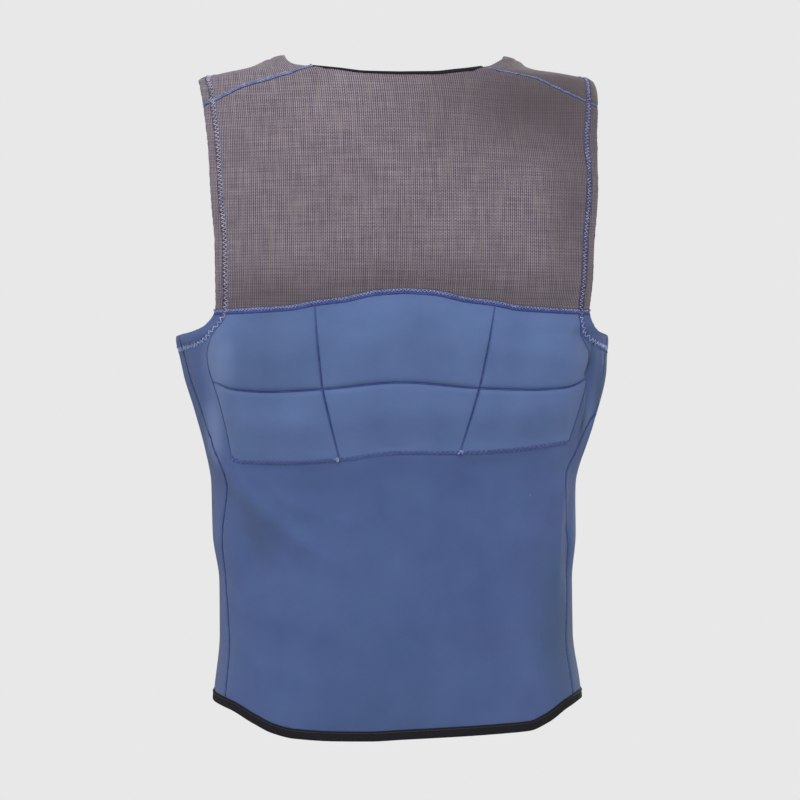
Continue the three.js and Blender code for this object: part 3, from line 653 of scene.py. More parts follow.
class VestSurface:
    """The wall as it is sewn: the smooth form with its grooves, turned edges and soft folds."""

    seam_depth = 1.1 * MM
    seam_width = 1.7 * MM
    valley_depth = 3.2 * MM
    valley_width = 13 * MM
    turned = 12 * MM
    turned_puff = 0.7 * MM
    turned_inside = 1.8 * MM
    stitch_depth = 0.7 * MM
    edge_roll = 1.5 * MM
    stitch_width = 1.4 * MM
    edge_step = 2 * MM
    edge_inside = 0.85
    pucker = 0.22 * MM
    pucker_pitch = 8.5 * MM
    pucker_fade = 5 * MM
    pucker_band = 6 * MM
    seam_drift = 0.023
    edge_drift = 0.031
    ripple = 0.3 * MM
    ripple_waves = 7
    ripple_lengths = (0.06, 0.15)
    line_step = 1 * MM

    def __init__(self, form: VestForm) -> None:
        """Lays out the lines that the relief follows.

        Args:
            form: The smooth form.
        """
        self.form = form
        front = form.front_seam_curve()
        left, right = form.shoulders[Side.LEFT], form.shoulders[Side.RIGHT]
        self.yoke = self.line(form.yoke_curve())
        self.seams = [self.yoke, *map(self.line, (mirrored(left), right, front, mirrored(front)))]
        self.seams += [self.line(form.side_curve(side)) for side in Side]
        top, bottom = ARMHOLE[0][0], ARMHOLE[-1][0]
        edges = [form.armhole_edge(top, bottom, on_front) for on_front in (False, True)]
        armholes = [curve for edge in edges for curve in (edge, mirrored(edge))]
        necks = [mirrored(form.neck_turn(Side.LEFT)), form.neck_turn(Side.RIGHT)]
        self.edges = [self.line(curve) for curve in armholes]
        self.neck_edges = [self.line(curve) for curve in necks]
        self.folds = [(fold, self.line(self.fold_curve(fold))) for fold in FOLDS]
        rng = np.random.default_rng(SEED)
        count = self.ripple_waves
        direction = rng.normal(size=(count, 3))
        direction /= np.linalg.norm(direction, axis=1, keepdims=True)
        self.waves = direction * (2 * np.pi / rng.uniform(*self.ripple_lengths, (count, 1)))
        self.phases = rng.uniform(0, 2 * np.pi, count)

    def line(self, curve: Curve) -> Line:
        """A curve on the form as a line to measure from."""
        rough = self.form.points(curve(np.linspace(0, 1, 50)))
        count = int(length_of(rough)[-1] / self.line_step) + 2
        return Line(self.form.points(curve(np.linspace(0, 1, count))))

    def fold_curve(self, fold: Fold) -> Curve:
        """The path of a fold as a curve."""
        path = np.array(fold.path)
        shares = np.linspace(0, 1, len(path))
        across, down = (SmoothCurve(shares, path[:, i]) for i in range(2))
        return lambda k: self.form.place_across(across(k), down(k), fold.on_front)

    def soft(self, places: Array) -> Array:
        """The lift of both faces: folds, and the fabric's slight unevenness."""
        points = self.form.points(places)
        waves = np.sin(points @ self.waves.T + self.phases).mean(-1)
        lift = self.ripple * waves * np.sqrt(len(self.phases))
        distance, _ = self.yoke.near(points)
        lift = lift - self.valley_depth * hump(distance, self.valley_width)
        for fold, line in self.folds:
            distance, along = line.near(points)
            fade = np.sin(np.pi * np.clip(along / line.gone[-1], 0.02, 0.98)) ** 0.7
            lift = lift + fold.height * MM * fade * hump(distance, fold.width * MM)
        return lift

    def edge_distance(self, points: Array, lines: Sequence[Line]) -> tuple[Array, Array]:
        """How far points lie from the nearest of some lines, and how far along it."""
        found = [line.near(points) for line in lines]
        distance = np.stack([away for away, _ in found])
        along = np.stack([gone for _, gone in found])
        nearest = distance.argmin(0)[None]
        return tuple(np.take_along_axis(part, nearest, 0)[0] for part in (distance, along))

    def lifts(self, places: Array) -> tuple[Array, Array]:
        """The lift of the outer and of the inner face of the wall.

        Args:
            places: Places on the form.

        Returns:
            The two lifts in metres, outwards.
        """
        points = self.form.points(places)
        soft = self.soft(places)
        outer = soft.copy()
        for seam in self.seams:
            distance, along = seam.near(points)
            outer = outer - self.seam_depth * hump(distance, self.seam_width)
            wave = np.sin(2 * np.pi * along / self.pucker_pitch + 3 * np.sin(along / self.seam_drift))
            outer = outer + self.pucker * wave * np.exp(-distance / self.pucker_fade)
        away, along = self.edge_distance(points, self.edges)
        neck_away, neck_along = self.edge_distance(points, self.neck_edges)
        along = np.where(away < neck_away, along, neck_along)
        away = np.minimum(away, neck_away)
        band = np.clip(away / self.turned, 0, 1)
        outer = outer + self.turned_puff * np.sin(np.pi * band) ** 0.8
        outer = outer - self.stitch_depth * hump(away - self.turned, self.stitch_width)
        wave = np.sin(2 * np.pi * along / self.pucker_pitch + 2.5 * np.sin(along / self.edge_drift))
        outer = outer + self.pucker * wave * hump(away - self.turned, self.pucker_band)
        doubled = self.turned_inside * np.clip((self.turned - away) / self.edge_step, 0, 1)
        rolled_in = 1 - rolled(away, self.edge_roll)
        outer = outer - self.edge_roll * rolled_in
        inner = soft - self.form.wall - doubled
        inner = inner + (self.edge_roll + doubled) * rolled_in * self.edge_inside
        return outer, inner

    def lifted(self, places: Array, lift: Array | float) -> Array:
        """Points lifted off the smooth form."""
        lift = np.broadcast_to(lift, places.shape[:-1])
        return self.form.points(places) + self.form.normals(places) * lift[..., None]


class Grain:
    """How far round and how far down the fabric a place lies, for the knit to follow."""

    step = 0.5
    rows = 240

    def __init__(self, form: VestForm) -> None:
        """Measures the arcs round the body.

        Args:
            form: The smooth form.
        """
        self.rounds = np.linspace(-180, 180, round(360 / self.step) + 1)
        self.levels = np.linspace(0, form.last_level, self.rows)
        around, level = np.meshgrid(self.rounds, self.levels)
        points = form.points(np.stack([around, level], axis=-1))
        steps = np.linalg.norm(np.diff(points, axis=1), axis=-1)
        arc = np.concatenate([np.zeros((len(self.levels), 1)), np.cumsum(steps, axis=1)], axis=1)
        self.arc = arc - arc[:, [len(self.rounds) // 2]]

    def __call__(self, places: Array) -> Array:
        """The fabric's own coordinates.

        Args:
            places: Places on the form.

        Returns:
            Metres round from the middle of the back, and metres down.
        """
        across = (np.clip(places[..., 0], -180, 180) + 180) / self.step
        down = np.clip(places[..., 1] / self.levels[-1], 0, 1) * (len(self.levels) - 1)
        i = np.clip(across.astype(int), 0, len(self.rounds) - 2)
        j = np.clip(down.astype(int), 0, len(self.levels) - 2)
        a, b = across - i, down - j
        above = self.arc[j, i] * (1 - a) + self.arc[j, i + 1] * a
        below = self.arc[j + 1, i] * (1 - a) + self.arc[j + 1, i + 1] * a
        return np.stack([above * (1 - b) + below * b, places[..., 1]], axis=-1)


@dataclass(frozen=True)
class Value:
    """A number that changes over a surface, as a socket that Python can calculate with."""

    nodes: "Nodes"
    socket: NodeSocket

    def math(self, operation: str, *others: "Value | float") -> "Value":
        """The result of a Math node on this number and others."""
        return self.nodes.math(operation, self, *others)

    def __add__(self, other: "Value | float") -> "Value":
        """This number plus another."""
        return self.math("ADD", other)

    def __sub__(self, other: "Value | float") -> "Value":
        """This number less another."""
        return self.math("SUBTRACT", other)

    def __mul__(self, other: "Value | float") -> "Value":
        """This number times another."""
        return self.math("MULTIPLY", other)

    def __rsub__(self, other: float) -> "Value":
        """A plain number less this one."""
        return self.nodes.math("SUBTRACT", other, self)

    __radd__ = __add__
    __rmul__ = __mul__

    def sine(self, pitch: float) -> "Value":
        """A sine of this number, from -1 to 1, with a pitch."""
        return (self * (2 * math.pi / pitch)).math("SINE")

    def wave(self, pitch: float) -> "Value":
        """The same from 0 to 1."""
        return self.sine(pitch) * 0.5 + 0.5

    def above(self, low: float, high: float) -> "Value":
        """0 below a low mark, 1 above a high one, and smooth in between."""
        settings = {"interpolation_type": "SMOOTHSTEP"}
        inputs = {"Value": self, "From Min": low, "From Max": high}
        made = self.nodes.node("ShaderNodeMapRange", settings, inputs)
        return Value(self.nodes, made.outputs["Result"])


class Nodes:
    """Makes the nodes of one material or world."""

    def __init__(self, tree: NodeTree) -> None:
        """Starts from an empty tree."""
        self.tree = tree
        tree.nodes.clear()

    def node(self, kind: str, settings: Settings | None = None, inputs: Inputs | None = None) -> Node:
        """Adds a node.

        Args:
            kind: Its type.
            settings: Its properties, set before its sockets.
            inputs: Values, colours or links for its sockets, by name or number.

        Returns:
            The node.
        """
        made = self.tree.nodes.new(kind)
        for name, value in (settings or {}).items():
            setattr(made, name, value)
        for name, value in (inputs or {}).items():
            socket = made.inputs[name]
            source = value.socket if isinstance(value, Value) else value
            if isinstance(source, NodeSocket):
                self.tree.links.new(source, socket)
            else:
                socket.default_value = (*source, 1.0) if socket.type == "RGBA" else source
        return made

    def math(self, operation: str, *values: Value | float) -> Value:
        """The result of a Math node."""
        inputs = dict(enumerate(values))
        made = self.node("ShaderNodeMath", {"operation": operation}, inputs)
        return Value(self, made.outputs[0])

    def colours(self, factor: Value, low: object, high: object) -> NodeSocket:
        """Two colours, or links to them, mixed by a factor from 0 to 1."""
        settings = {"data_type": "RGBA", "clamp_factor": True}
        return self.node("ShaderNodeMix", settings, {0: factor, 6: low, 7: high}).outputs[2]

    def split(self, vector: NodeSocket) -> tuple[Value, Value, Value]:
        """The three numbers of a vector."""
        made = self.node("ShaderNodeSeparateXYZ", None, {"Vector": vector})
        x, y, z = (Value(self, output) for output in made.outputs)
        return x, y, z

    def stretched(self, vector: NodeSocket, scale: Sequence[float]) -> NodeSocket:
        """A coordinate scaled along its axes."""
        settings = {"operation": "MULTIPLY"}
        made = self.node("ShaderNodeVectorMath", settings, {0: vector, 1: tuple(scale)})
        return made.outputs[0]

    def noise(self, vector: NodeSocket, scale: float, detail: float = 3.0) -> Value:
        """Smooth noise from 0 to 1."""
        inputs = {"Vector": vector, "Scale": scale, "Detail": detail}
        made = self.node("ShaderNodeTexNoise", {"noise_dimensions": "3D"}, inputs)
        return Value(self, made.outputs[0])

    def spot(self, centre: Sequence[float], radii: Sequence[float]) -> Value:
        """1 at a place on the object, falling smoothly to 0 at some radii round it."""
        settings = {"operation": "SUBTRACT"}
        away = self.node("ShaderNodeVectorMath", settings, {0: self.object_place(), 1: tuple(centre)})
        shares = self.stretched(away.outputs[0], [1 / radius for radius in radii])
        length = self.node("ShaderNodeVectorMath", {"operation": "LENGTH"}, {0: shares})
        return 1 - Value(self, length.outputs["Value"]).above(0.0, 1.0)

    def uv(self) -> NodeSocket:
        """The fabric's own coordinates, in metres."""
        return self.node("ShaderNodeUVMap", {"uv_map": FABRIC_UV}).outputs[0]

    def object_place(self) -> NodeSocket:
        """The place on the object, in metres."""
        return self.node("ShaderNodeTexCoord").outputs["Object"]

    def bump(self, height: Value, distance: float, strength: float = 1.0) -> NodeSocket:
        """A normal from a height in units of a distance."""
        inputs = {"Height": height, "Distance": distance, "Strength": strength}
        return self.node("ShaderNodeBump", None, inputs).outputs[0]

    def spotted(self, colour: object, spots: Spots, tint: Colour) -> NodeSocket:
        """A colour with spots of another over it."""
        for centre, radii, strength in spots:
            colour = self.colours(self.spot(centre, radii) * strength, colour, tint)
        return colour


FABRIC_UV = "fabric"


def linear(red: int, green: int, blue: int) -> Colour:
    """A colour that is given as it shows on a screen, as the shader takes it."""

    def one(value: int) -> float:
        """One channel."""
        share = value / 255
        return share / 12.92 if share <= 0.04045 else ((share + 0.055) / 1.055) ** 2.4

    return one(red), one(green), one(blue)


@dataclass(frozen=True)
class Finish:
    """A finish of the vest: its name, and the ground colour that it starts from."""

    name: str
    ground: Colour

    def make(self) -> Material:
        """Builds the material."""
        material = bpy.data.materials.new(self.name)
        material.use_nodes = True
        material.diffuse_color = (*self.ground, 1.0)
        nodes = Nodes(material.node_tree)
        shader = nodes.node("ShaderNodeBsdfPrincipled", None, self.inputs(nodes))
        nodes.node("ShaderNodeOutputMaterial", None, {"Surface": shader.outputs[0]})
        return material

    def inputs(self, nodes: Nodes) -> Inputs:
        """What goes into its shader."""
        raise NotImplementedError


@dataclass(frozen=True)
class RibKnit(Finish):
    """The grey yoke: a ribbed double knit of dark and light threads over neoprene, with painted shade in
    patches.
    """

    name: str = "rib_knit"
    ground: Colour = linear(66, 58, 66)
    light: Colour = linear(152, 141, 152)
    warm: Colour = linear(120, 110, 104)
    # Colour of the painted shade: the knit darkens towards it where shade falls on the yoke.
    painted_shade: Colour = linear(66, 58, 62)
    wale: float = 1.8 * MM
    course: float = 2.5 * MM
    # Painted shade spots (centre, radii, strength) at the right shoulder and just above the wavy seam.
    painted_shades: Spots = (
        ((0.11, -0.06, -0.03), (0.17, 0.16, 0.1), 0.8),
        ((0.155, -0.02, -0.015), (0.05, 0.1, 0.04), 0.6),
        ((0.145, -0.06, -0.12), (0.045, 0.1, 0.13), 0.6),
        ((-0.12, -0.1, -0.205), (0.08, 0.08, 0.05), 0.5),
        ((0.0, -0.12, -0.2), (0.16, 0.08, 0.05), 0.5),
        ((0.12, -0.1, -0.205), (0.08, 0.08, 0.05), 0.35),
    )

    def inputs(self, nodes: Nodes) -> Inputs:
        """What goes into its shader."""
        uv = nodes.uv()
        across, down, _ = nodes.split(uv)
        wander = nodes.noise(nodes.stretched(uv, (90, 22, 1)), 1.0, 2.0)
        turn = across * (2 * math.pi / self.wale) + wander * 1.2
        rib = turn.math("SINE") * 0.5 + 0.5
        step = down * (2 * math.pi / self.course) + (turn * 0.5).math("SINE") * 0.9
        course = step.math("SINE") * 0.5 + 0.5
        streaks = nodes.noise(nodes.stretched(uv, (620, 34, 1)), 1.0, 3.0)
        cross = nodes.noise(nodes.stretched(uv, (30, 420, 1)), 1.0, 3.0)
        patches = nodes.noise(uv, 24.0, 3.0)
        depth = rib * 0.66 + course * (patches * 0.4 + 0.02)
        tone = depth + (streaks - 0.5) * 0.6 + (cross - 0.5) * 0.5 - 0.16
        thread = nodes.colours(tone, self.ground, self.light)
        tint = nodes.noise(nodes.stretched(uv, (150, 30, 1)), 1.0, 2.0).above(0.5, 0.78)
        colour = nodes.colours(tint * 0.4, thread, self.warm)
        # Paints shade into the colour, spot by spot.
        colour = nodes.spotted(colour, self.painted_shades, self.painted_shade)
        height = rib * 0.7 + course * 0.3 + streaks * 0.4
        normal = nodes.bump(height, 0.35 * MM, 0.9)
        inputs = {"Base Color": colour, "Roughness": 0.92, "Normal": normal}
        return inputs | {"Sheen Weight": 0.12, "Sheen Roughness": 0.5, "Specular IOR Level": 0.25}


@dataclass(frozen=True)
class Jersey(Finish):
    """Smooth jersey over neoprene, with the odd fleck of lint, painted shade and painted highlights."""

    name: str = "blue_jersey"
    ground: Colour = linear(55, 72, 116)
    bright: Colour = linear(70, 88, 133)
    teal: Colour = linear(60, 88, 124)
    lint: Colour = linear(190, 200, 222)
    # Colour of the painted shade.
    shaded: Colour = linear(44, 66, 92)
    # Colour of the painted highlights.
    painted_highlight: Colour = linear(112, 132, 172)
    stitch: float = 0.8 * MM
    # Painted shade spots: the lower body and its lower right darker, painted creases at the right side,
    # and shade just under the pads.
    painted_shades: Spots = (
        ((0.15, -0.08, -0.48), (0.055, 0.1, 0.12), 0.75),
        ((0.172, -0.03, -0.3), (0.02, 0.06, 0.09), 0.8),
        ((0.165, -0.05, -0.5), (0.06, 0.12, 0.1), 0.5),
        ((0.1615, -0.05, -0.253), (0.006, 0.07, 0.024), 0.8),
        ((0.156, -0.05, -0.306), (0.006, 0.07, 0.024), 0.8),
        ((-0.09, -0.1, -0.355), (0.07, 0.08, 0.016), 0.3),
        ((0.08, -0.1, -0.34), (0.08, 0.08, 0.012), 0.25),
        ((-0.125, -0.08, -0.4), (0.035, 0.08, 0.04), 0.3),
        ((0.0, -0.1, -0.54), (0.17, 0.16, 0.12), 0.26),
    )
    # Painted highlight spots: the left end of the pads and the left and right sides, where light falls.
    painted_highlights: Spots = (
        ((-0.155, -0.06, -0.255), (0.022, 0.06, 0.04), 0.7),
        ((-0.162, -0.05, -0.31), (0.014, 0.06, 0.05), 0.5),
        ((0.163, -0.05, -0.31), (0.012, 0.06, 0.05), 0.3),
    )

    def inputs(self, nodes: Nodes) -> Inputs:
        """What goes into its shader."""
        uv, place = nodes.uv(), nodes.object_place()
        across, down, _ = nodes.split(uv)
        wales, courses = across.sine(self.stitch), down.sine(self.stitch)
        knit = wales * 0.5 + courses * 0.3
        wide = nodes.noise(place, 26.0, 5.0)
        fine = nodes.noise(nodes.stretched(uv, (900, 500, 1)), 1.0, 2.0)
        tone = (wide - 0.5) * 1.3 + fine * 0.4 + knit * 0.06 + 0.2
        base = nodes.colours(tone, self.ground, self.bright)
        hue = nodes.noise(place, 34.0, 2.0).above(0.52, 0.75)
        base = nodes.colours(hue * 0.35, base, self.teal)
        cells = nodes.node("ShaderNodeTexVoronoi", {"feature": "F1"}, {"Vector": place, "Scale": 46.0})
        near = 1 - Value(nodes, cells.outputs["Distance"]).above(0.012, 0.03)
        chance = nodes.split(cells.outputs["Color"])[0].above(0.78, 0.8)
        # Paints shade, then highlights, into the colour, spot by spot.
        base = nodes.spotted(base, self.painted_shades, self.shaded)
        base = nodes.spotted(base, self.painted_highlights, self.painted_highlight)
        colour = nodes.colours(near * chance * 0.55, base, self.lint)
        normal = nodes.bump(knit + fine * 1.2, 0.12 * MM, 0.7)
        inputs = {"Base Color": colour, "Roughness": 0.82, "Normal": normal}
        return inputs | {"Sheen Weight": 0.1, "Sheen Roughness": 0.45, "Specular IOR Level": 0.3}


@dataclass(frozen=True)
class WovenTape(Finish):
    """Black binding tape, woven in fine ribs across its length."""

    name: str = "binding_tape"
    ground: Colour = linear(6, 6, 10)
    worn: Colour = linear(24, 23, 31)
    rib: float = 1.1 * MM
    weft: float = 0.7 * MM

    def inputs(self, nodes: Nodes) -> Inputs:
        """What goes into its shader."""
        across, down, _ = nodes.split(nodes.uv())
        ribs, weft = across.wave(self.rib), down.wave(self.weft)
        fuzz = nodes.noise(nodes.object_place(), 700.0, 2.0)
        tone = ribs * 0.3 + weft * 0.15 + fuzz * 0.4
        colour = nodes.colours(tone, self.ground, self.worn)
        normal = nodes.bump(ribs * 0.8 + weft * 0.4 + fuzz * 0.4, 0.2 * MM, 0.8)
        return {"Base Color": colour, "Roughness": 0.78, "Normal": normal, "Specular IOR Level": 0.2}


@dataclass(frozen=True)
class Lining(Finish):
    """The dark looped inside of the neoprene."""

    name: str = "lining"
    ground: Colour = linear(34, 35, 42)
    loop: Colour = linear(62, 63, 72)
    wale: float = 1.4 * MM
    course: float = 1.1 * MM

    def inputs(self, nodes: Nodes) -> Inputs:
        """What goes into its shader."""
        across, down, _ = nodes.split(nodes.uv())
        wales, courses = across.wave(self.wale), down.wave(self.course)
        fuzz = nodes.noise(nodes.object_place(), 500.0, 3.0)
        tone = wales * 0.35 + courses * 0.2 + fuzz * 0.5 - 0.1
        colour = nodes.colours(tone, self.ground, self.loop)
        normal = nodes.bump(wales * 0.6 + courses * 0.4 + fuzz * 0.6, 0.3 * MM, 0.8)
        return {"Base Color": colour, "Roughness": 0.95, "Normal": normal, "Specular IOR Level": 0.2}


class Yarn(Labelled):
    """The colours of thread: deep, and a painted highlight where it catches the light."""

    FADED = ((78, 90, 130), (136, 146, 178))
    SLATE = ((82, 90, 120), (142, 150, 180))
    TONAL = ((52, 68, 116), (88, 106, 154))
    ROYAL = ((38, 54, 120), (70, 90, 164))
    NAVY = ((24, 35, 82), (46, 62, 118))
    PALE = ((122, 136, 184), (192, 202, 232))
    LILAC = ((132, 128, 152), (204, 202, 218))
    # Dark thread laid where the seams show shade between their loops: painted shade.
    SHADOW = ((52, 45, 66), (84, 76, 104))
    BLACK = ((16, 16, 20), (44, 44, 52))


@dataclass(frozen=True)
class Thread(Finish):
    """Sewing thread, lighter and darker as it twists: the lighter colour is a painted highlight."""

    glint: Colour

    def inputs(self, nodes: Nodes) -> Inputs:
        """What goes into its shader."""
        place = nodes.object_place()
        twist = nodes.noise(place, 900.0, 2.0).above(0.35, 0.68)
        patch = nodes.noise(place, 120.0, 2.0).above(0.3, 0.7)
        colour = nodes.colours(twist * 0.7 + patch * 0.3, self.ground, self.glint)
        return {"Base Color": colour, "Roughness": 0.55, "Specular IOR Level": 0.4}


def thread_materials() -> dict[Yarn, Material]:
    """A material for each colour of thread."""
    shown = {yarn: [linear(*colour) for colour in yarn.value] for yarn in Yarn}
    return {yarn: Thread(f"thread_{yarn.label}", *tones).make() for yarn, tones in shown.items()}


@dataclass(frozen=True)
class Moulded(Finish):
    """Moulded plastic with a faint grain."""

    name: str = "zip_plastic"
    ground: Colour = linear(22, 22, 25)
    roughness: float = 0.38

    def inputs(self, nodes: Nodes) -> Inputs:
        """What goes into its shader."""
        grain = nodes.noise(nodes.object_place(), 1400.0, 3.0)
        lighter = tuple(min(1.0, 1.7 * c + 0.004) for c in self.ground)
        colour = nodes.colours(grain.above(0.3, 0.8), self.ground, lighter)
        rough = grain * 0.2 + (self.roughness - 0.1)
        return {"Base Color": colour, "Roughness": rough, "Normal": nodes.bump(grain, 0.05 * MM, 0.4)}


@dataclass(frozen=True)
class PaleFloor(Finish):
    """The pale floor of the studio."""

    name: str = "studio_floor"
    ground: Colour = linear(226, 226, 226)

    def inputs(self, nodes: Nodes) -> Inputs:
        """What goes into its shader."""
        cloud = nodes.noise(nodes.object_place(), 2.0, 2.0)
        darker = tuple(0.96 * c for c in self.ground)
        return {"Base Color": nodes.colours(cloud, self.ground, darker), "Roughness": 0.9}


PAD_JERSEY = Jersey(
    name="pad_jersey",
    ground=linear(67, 86, 129),
    bright=linear(84, 104, 147),
    teal=linear(72, 100, 140),
    # Painted shade: the upper left pads and the upper middle darker.
    painted_shades=(
        ((-0.11, -0.09, -0.24), (0.08, 0.1, 0.07), 0.34),
        ((0.0, -0.1, -0.23), (0.08, 0.1, 0.05), 0.16),
    ),
)


@dataclass
class Wardrobe:
    """Every finish of the vest, made once."""

    rib: Material = field(default_factory=RibKnit().make)
    jersey: Material = field(default_factory=Jersey().make)
    pad: Material = field(default_factory=PAD_JERSEY.make)
    tape: Material = field(default_factory=WovenTape().make)
    zip_tape: Material = field(default_factory=WovenTape(name="zip_tape", rib=0.9 * MM).make)
    lining: Material = field(default_factory=Lining().make)
    threads: dict[Yarn, Material] = field(default_factory=thread_materials)
    plastic: Material = field(default_factory=Moulded().make)


def link(mesh_object: Object) -> Object:
    """Puts an object in the scene."""
    bpy.context.scene.collection.objects.link(mesh_object)
    return mesh_object


def evaluated(piece: Object) -> Object:
    """A piece as its modifiers leave it."""
    return piece.evaluated_get(bpy.context.evaluated_depsgraph_get())


def report(piece: Object) -> None:
    """Reports a finished piece."""
    log.info("%s: %d faces", piece.name, len(piece.data.polygons))


def object_from(bm: BMesh, name: str, *materials: Material, smooth: bool = True) -> Object:
    """An object with the mesh that a bmesh holds, which is freed.

    Args:
        bm: The mesh.
        name: The name of the piece.
        materials: Its materials, by slot.
        smooth: Whether its faces are shaded as one smooth surface.

    Returns:
        The object, in the scene.
    """
    for face in bm.faces:
        face.smooth = smooth
    mesh = bpy.data.meshes.new(name)
    bm.to_mesh(mesh)
    bm.free()
    for material in materials:
        mesh.materials.append(material)
    return link(bpy.data.objects.new(name, mesh))


def round_off(bm: BMesh, edges: Sequence[BMEdge], offset: float, segments: int = 3) -> None:
    """Bevels the edges of a shape.

    Args:
        bm: The mesh.
        edges: Its edges to bevel.
        offset: How far in from each edge the bevel starts.
        segments: The number of faces across the bevel.
    """
    cut = {"offset": offset, "offset_type": "OFFSET", "segments": segments}
    bmesh.ops.bevel(bm, geom=list(edges), affect="EDGES", profile=0.5, material=-1, **cut)


def face_outwards(bm: BMesh) -> None:
    """Turns the faces of a closed mesh outwards."""
    bmesh.ops.recalc_face_normals(bm, faces=bm.faces[:])
    if bm.calc_volume(signed=True) < 0:
        bmesh.ops.reverse_faces(bm, faces=bm.faces[:])


def two_sided(name: str, outer: Array, inner: Array, uv: Array, *materials: Material) -> Object:
    """A closed sheet between two grids of points.

    Args:
        name: The name of the piece.
        outer: The outer face, by row and column.
        inner: The inner face, by row and column.
        uv: The fabric's coordinates, by row and column.
        materials: The outer material, and the inner one if it differs.

    Returns:
        The object, in the scene.
    """
    rows, columns = outer.shape[:2]
    bm = bmesh.new()
    bmesh.ops.create_grid(bm, x_segments=columns - 1, y_segments=rows - 1, size=0.5)
    bmesh.ops.extrude_face_region(bm, geom=bm.faces[:])
    bm.verts.index_update()
    flat = np.array([vert.co for vert in bm.verts])
    column = np.rint((flat[:, 0] + 0.5) * (columns - 1)).astype(int)
    row = np.rint((flat[:, 1] + 0.5) * (rows - 1)).astype(int)
    inside = np.arange(len(flat)) < rows * columns
    places = np.where(inside[:, None], inner[row, column], outer[row, column])
    for vert, place in zip(bm.verts, places, strict=True):
        vert.co = place
    for face in bm.faces:
        face.material_index = int(len(materials) > 1 and all(inside[v.index] for v in face.verts))
    face_outwards(bm)
    made = object_from(bm, name, *materials)
    corners = np.zeros(len(made.data.loops), np.int32)
    made.data.loops.foreach_get("vertex_index", corners)
    layer = made.data.uv_layers.new(name=FABRIC_UV)
    layer.data.foreach_set("uv", uv[row, column][corners].astype(np.float32).ravel())
    return made


def area_of(grid: Array) -> float:
    """The area of a grid of points."""
    a, b = grid[1:, 1:] - grid[:-1, :-1], grid[1:, :-1] - grid[:-1, 1:]
    return float(np.linalg.norm(np.cross(a, b), axis=-1).sum() / 2)


def cut_of(grid: Array) -> tuple[float, float]:
    """The width and length of the cloth that a grid of points was cut from."""
    widths = np.linalg.norm(np.diff(grid, axis=1), axis=-1).sum(1)
    lengths = np.linalg.norm(np.diff(grid, axis=0), axis=-1).sum(0)
    return float(widths.max()), float(lengths.max())


@dataclass
class Workroom:
    """What every sub-assembly is made with."""

    form: VestForm
    surface: VestSurface
    grain: Grain
    finishes: Wardrobe


def wall_panel(
    room: Workroom, name: str, places: Array, finish: Material, node: str
) -> None:
    """A panel of the wall, with its lining inside.

    Args:
        room: What the vest is made with.
        name: The name of the piece.
        places: Its places, by row and column.
        finish: Its outer material.
        node: The CAD node that it stands for.
    """
    outer, inner = room.surface.lifts(places)
    middle = room.surface.lifted(places, (outer + inner) / 2)
    made = two_sided(
        name,
        room.surface.lifted(places, outer),
        room.surface.lifted(places, inner),
        room.grain(places),
        finish,
        room.finishes.lining,
    )
    width, length = cut_of(middle)
    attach(made, ROOT)
    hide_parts(node)
    min(area_of(middle), width * length)
    report(made)


@dataclass
class Yoke:
    """The grey upper vest: the back between the shoulders, and both front shoulders."""

    room: Workroom
    columns: int = 150
    rows: int = 100
    front_columns: int = 62
    front_rows: int = 130
    neck_share: float = 10 / 18
    seam_share: float = 8 / 26
    shoulder_share: float = 0.15
    neck_rows_share: float = 11 / 20

    def build(self) -> None:
        """Builds the three panels."""
        form = self.room.form
        neck_on = joined(form.neck_curve(), form.shoulders[Side.RIGHT], self.neck_share)
        shoulder = mirrored(reversed_way(form.shoulders[Side.LEFT]))
        side = form.armhole_edge(SHOULDER_TIP, YOKE_END_BACK, False)
        top = joined(shoulder, neck_on, self.seam_share)
        us, vs = crowded(self.columns), crowded(self.rows)
        places = form.sheet(us, vs, top, form.yoke_curve(), mirrored(side), side)
        wall_panel(self.room, "yoke_back", places, self.room.finishes.rib, "back_yoke")
        for hand in Side:
            self.front(hand)

    def front(self, side: Side) -> None:
        """Builds one front shoulder."""
        form, peak = self.room.form, ARMHOLE[0][0]
        over = joined(
            form.armhole_edge(SHOULDER_TIP, peak, False),
            form.armhole_edge(peak, YOKE_END_FRONT, True),
            self.shoulder_share,
        )
        seam = form.front_seam_curve()
        along_zip = form.zip_edge(form.neck_corner[1], seam(np.array(1.0))[1])
        inner = joined(form.neck_turn(side), along_zip, self.neck_rows_share)
        us, vs = crowded(self.front_columns), crowded(self.front_rows)
        top = reversed_way(form.shoulders[side])
        places = form.sheet(us, vs, top, seam, form.paced(over), inner)
        places = places * np.array([side.value, 1.0])
        name, node = f"yoke_front_{side.label}", f"front_yoke_{side.label}"
        wall_panel(self.room, name, places, self.room.finishes.rib, node)


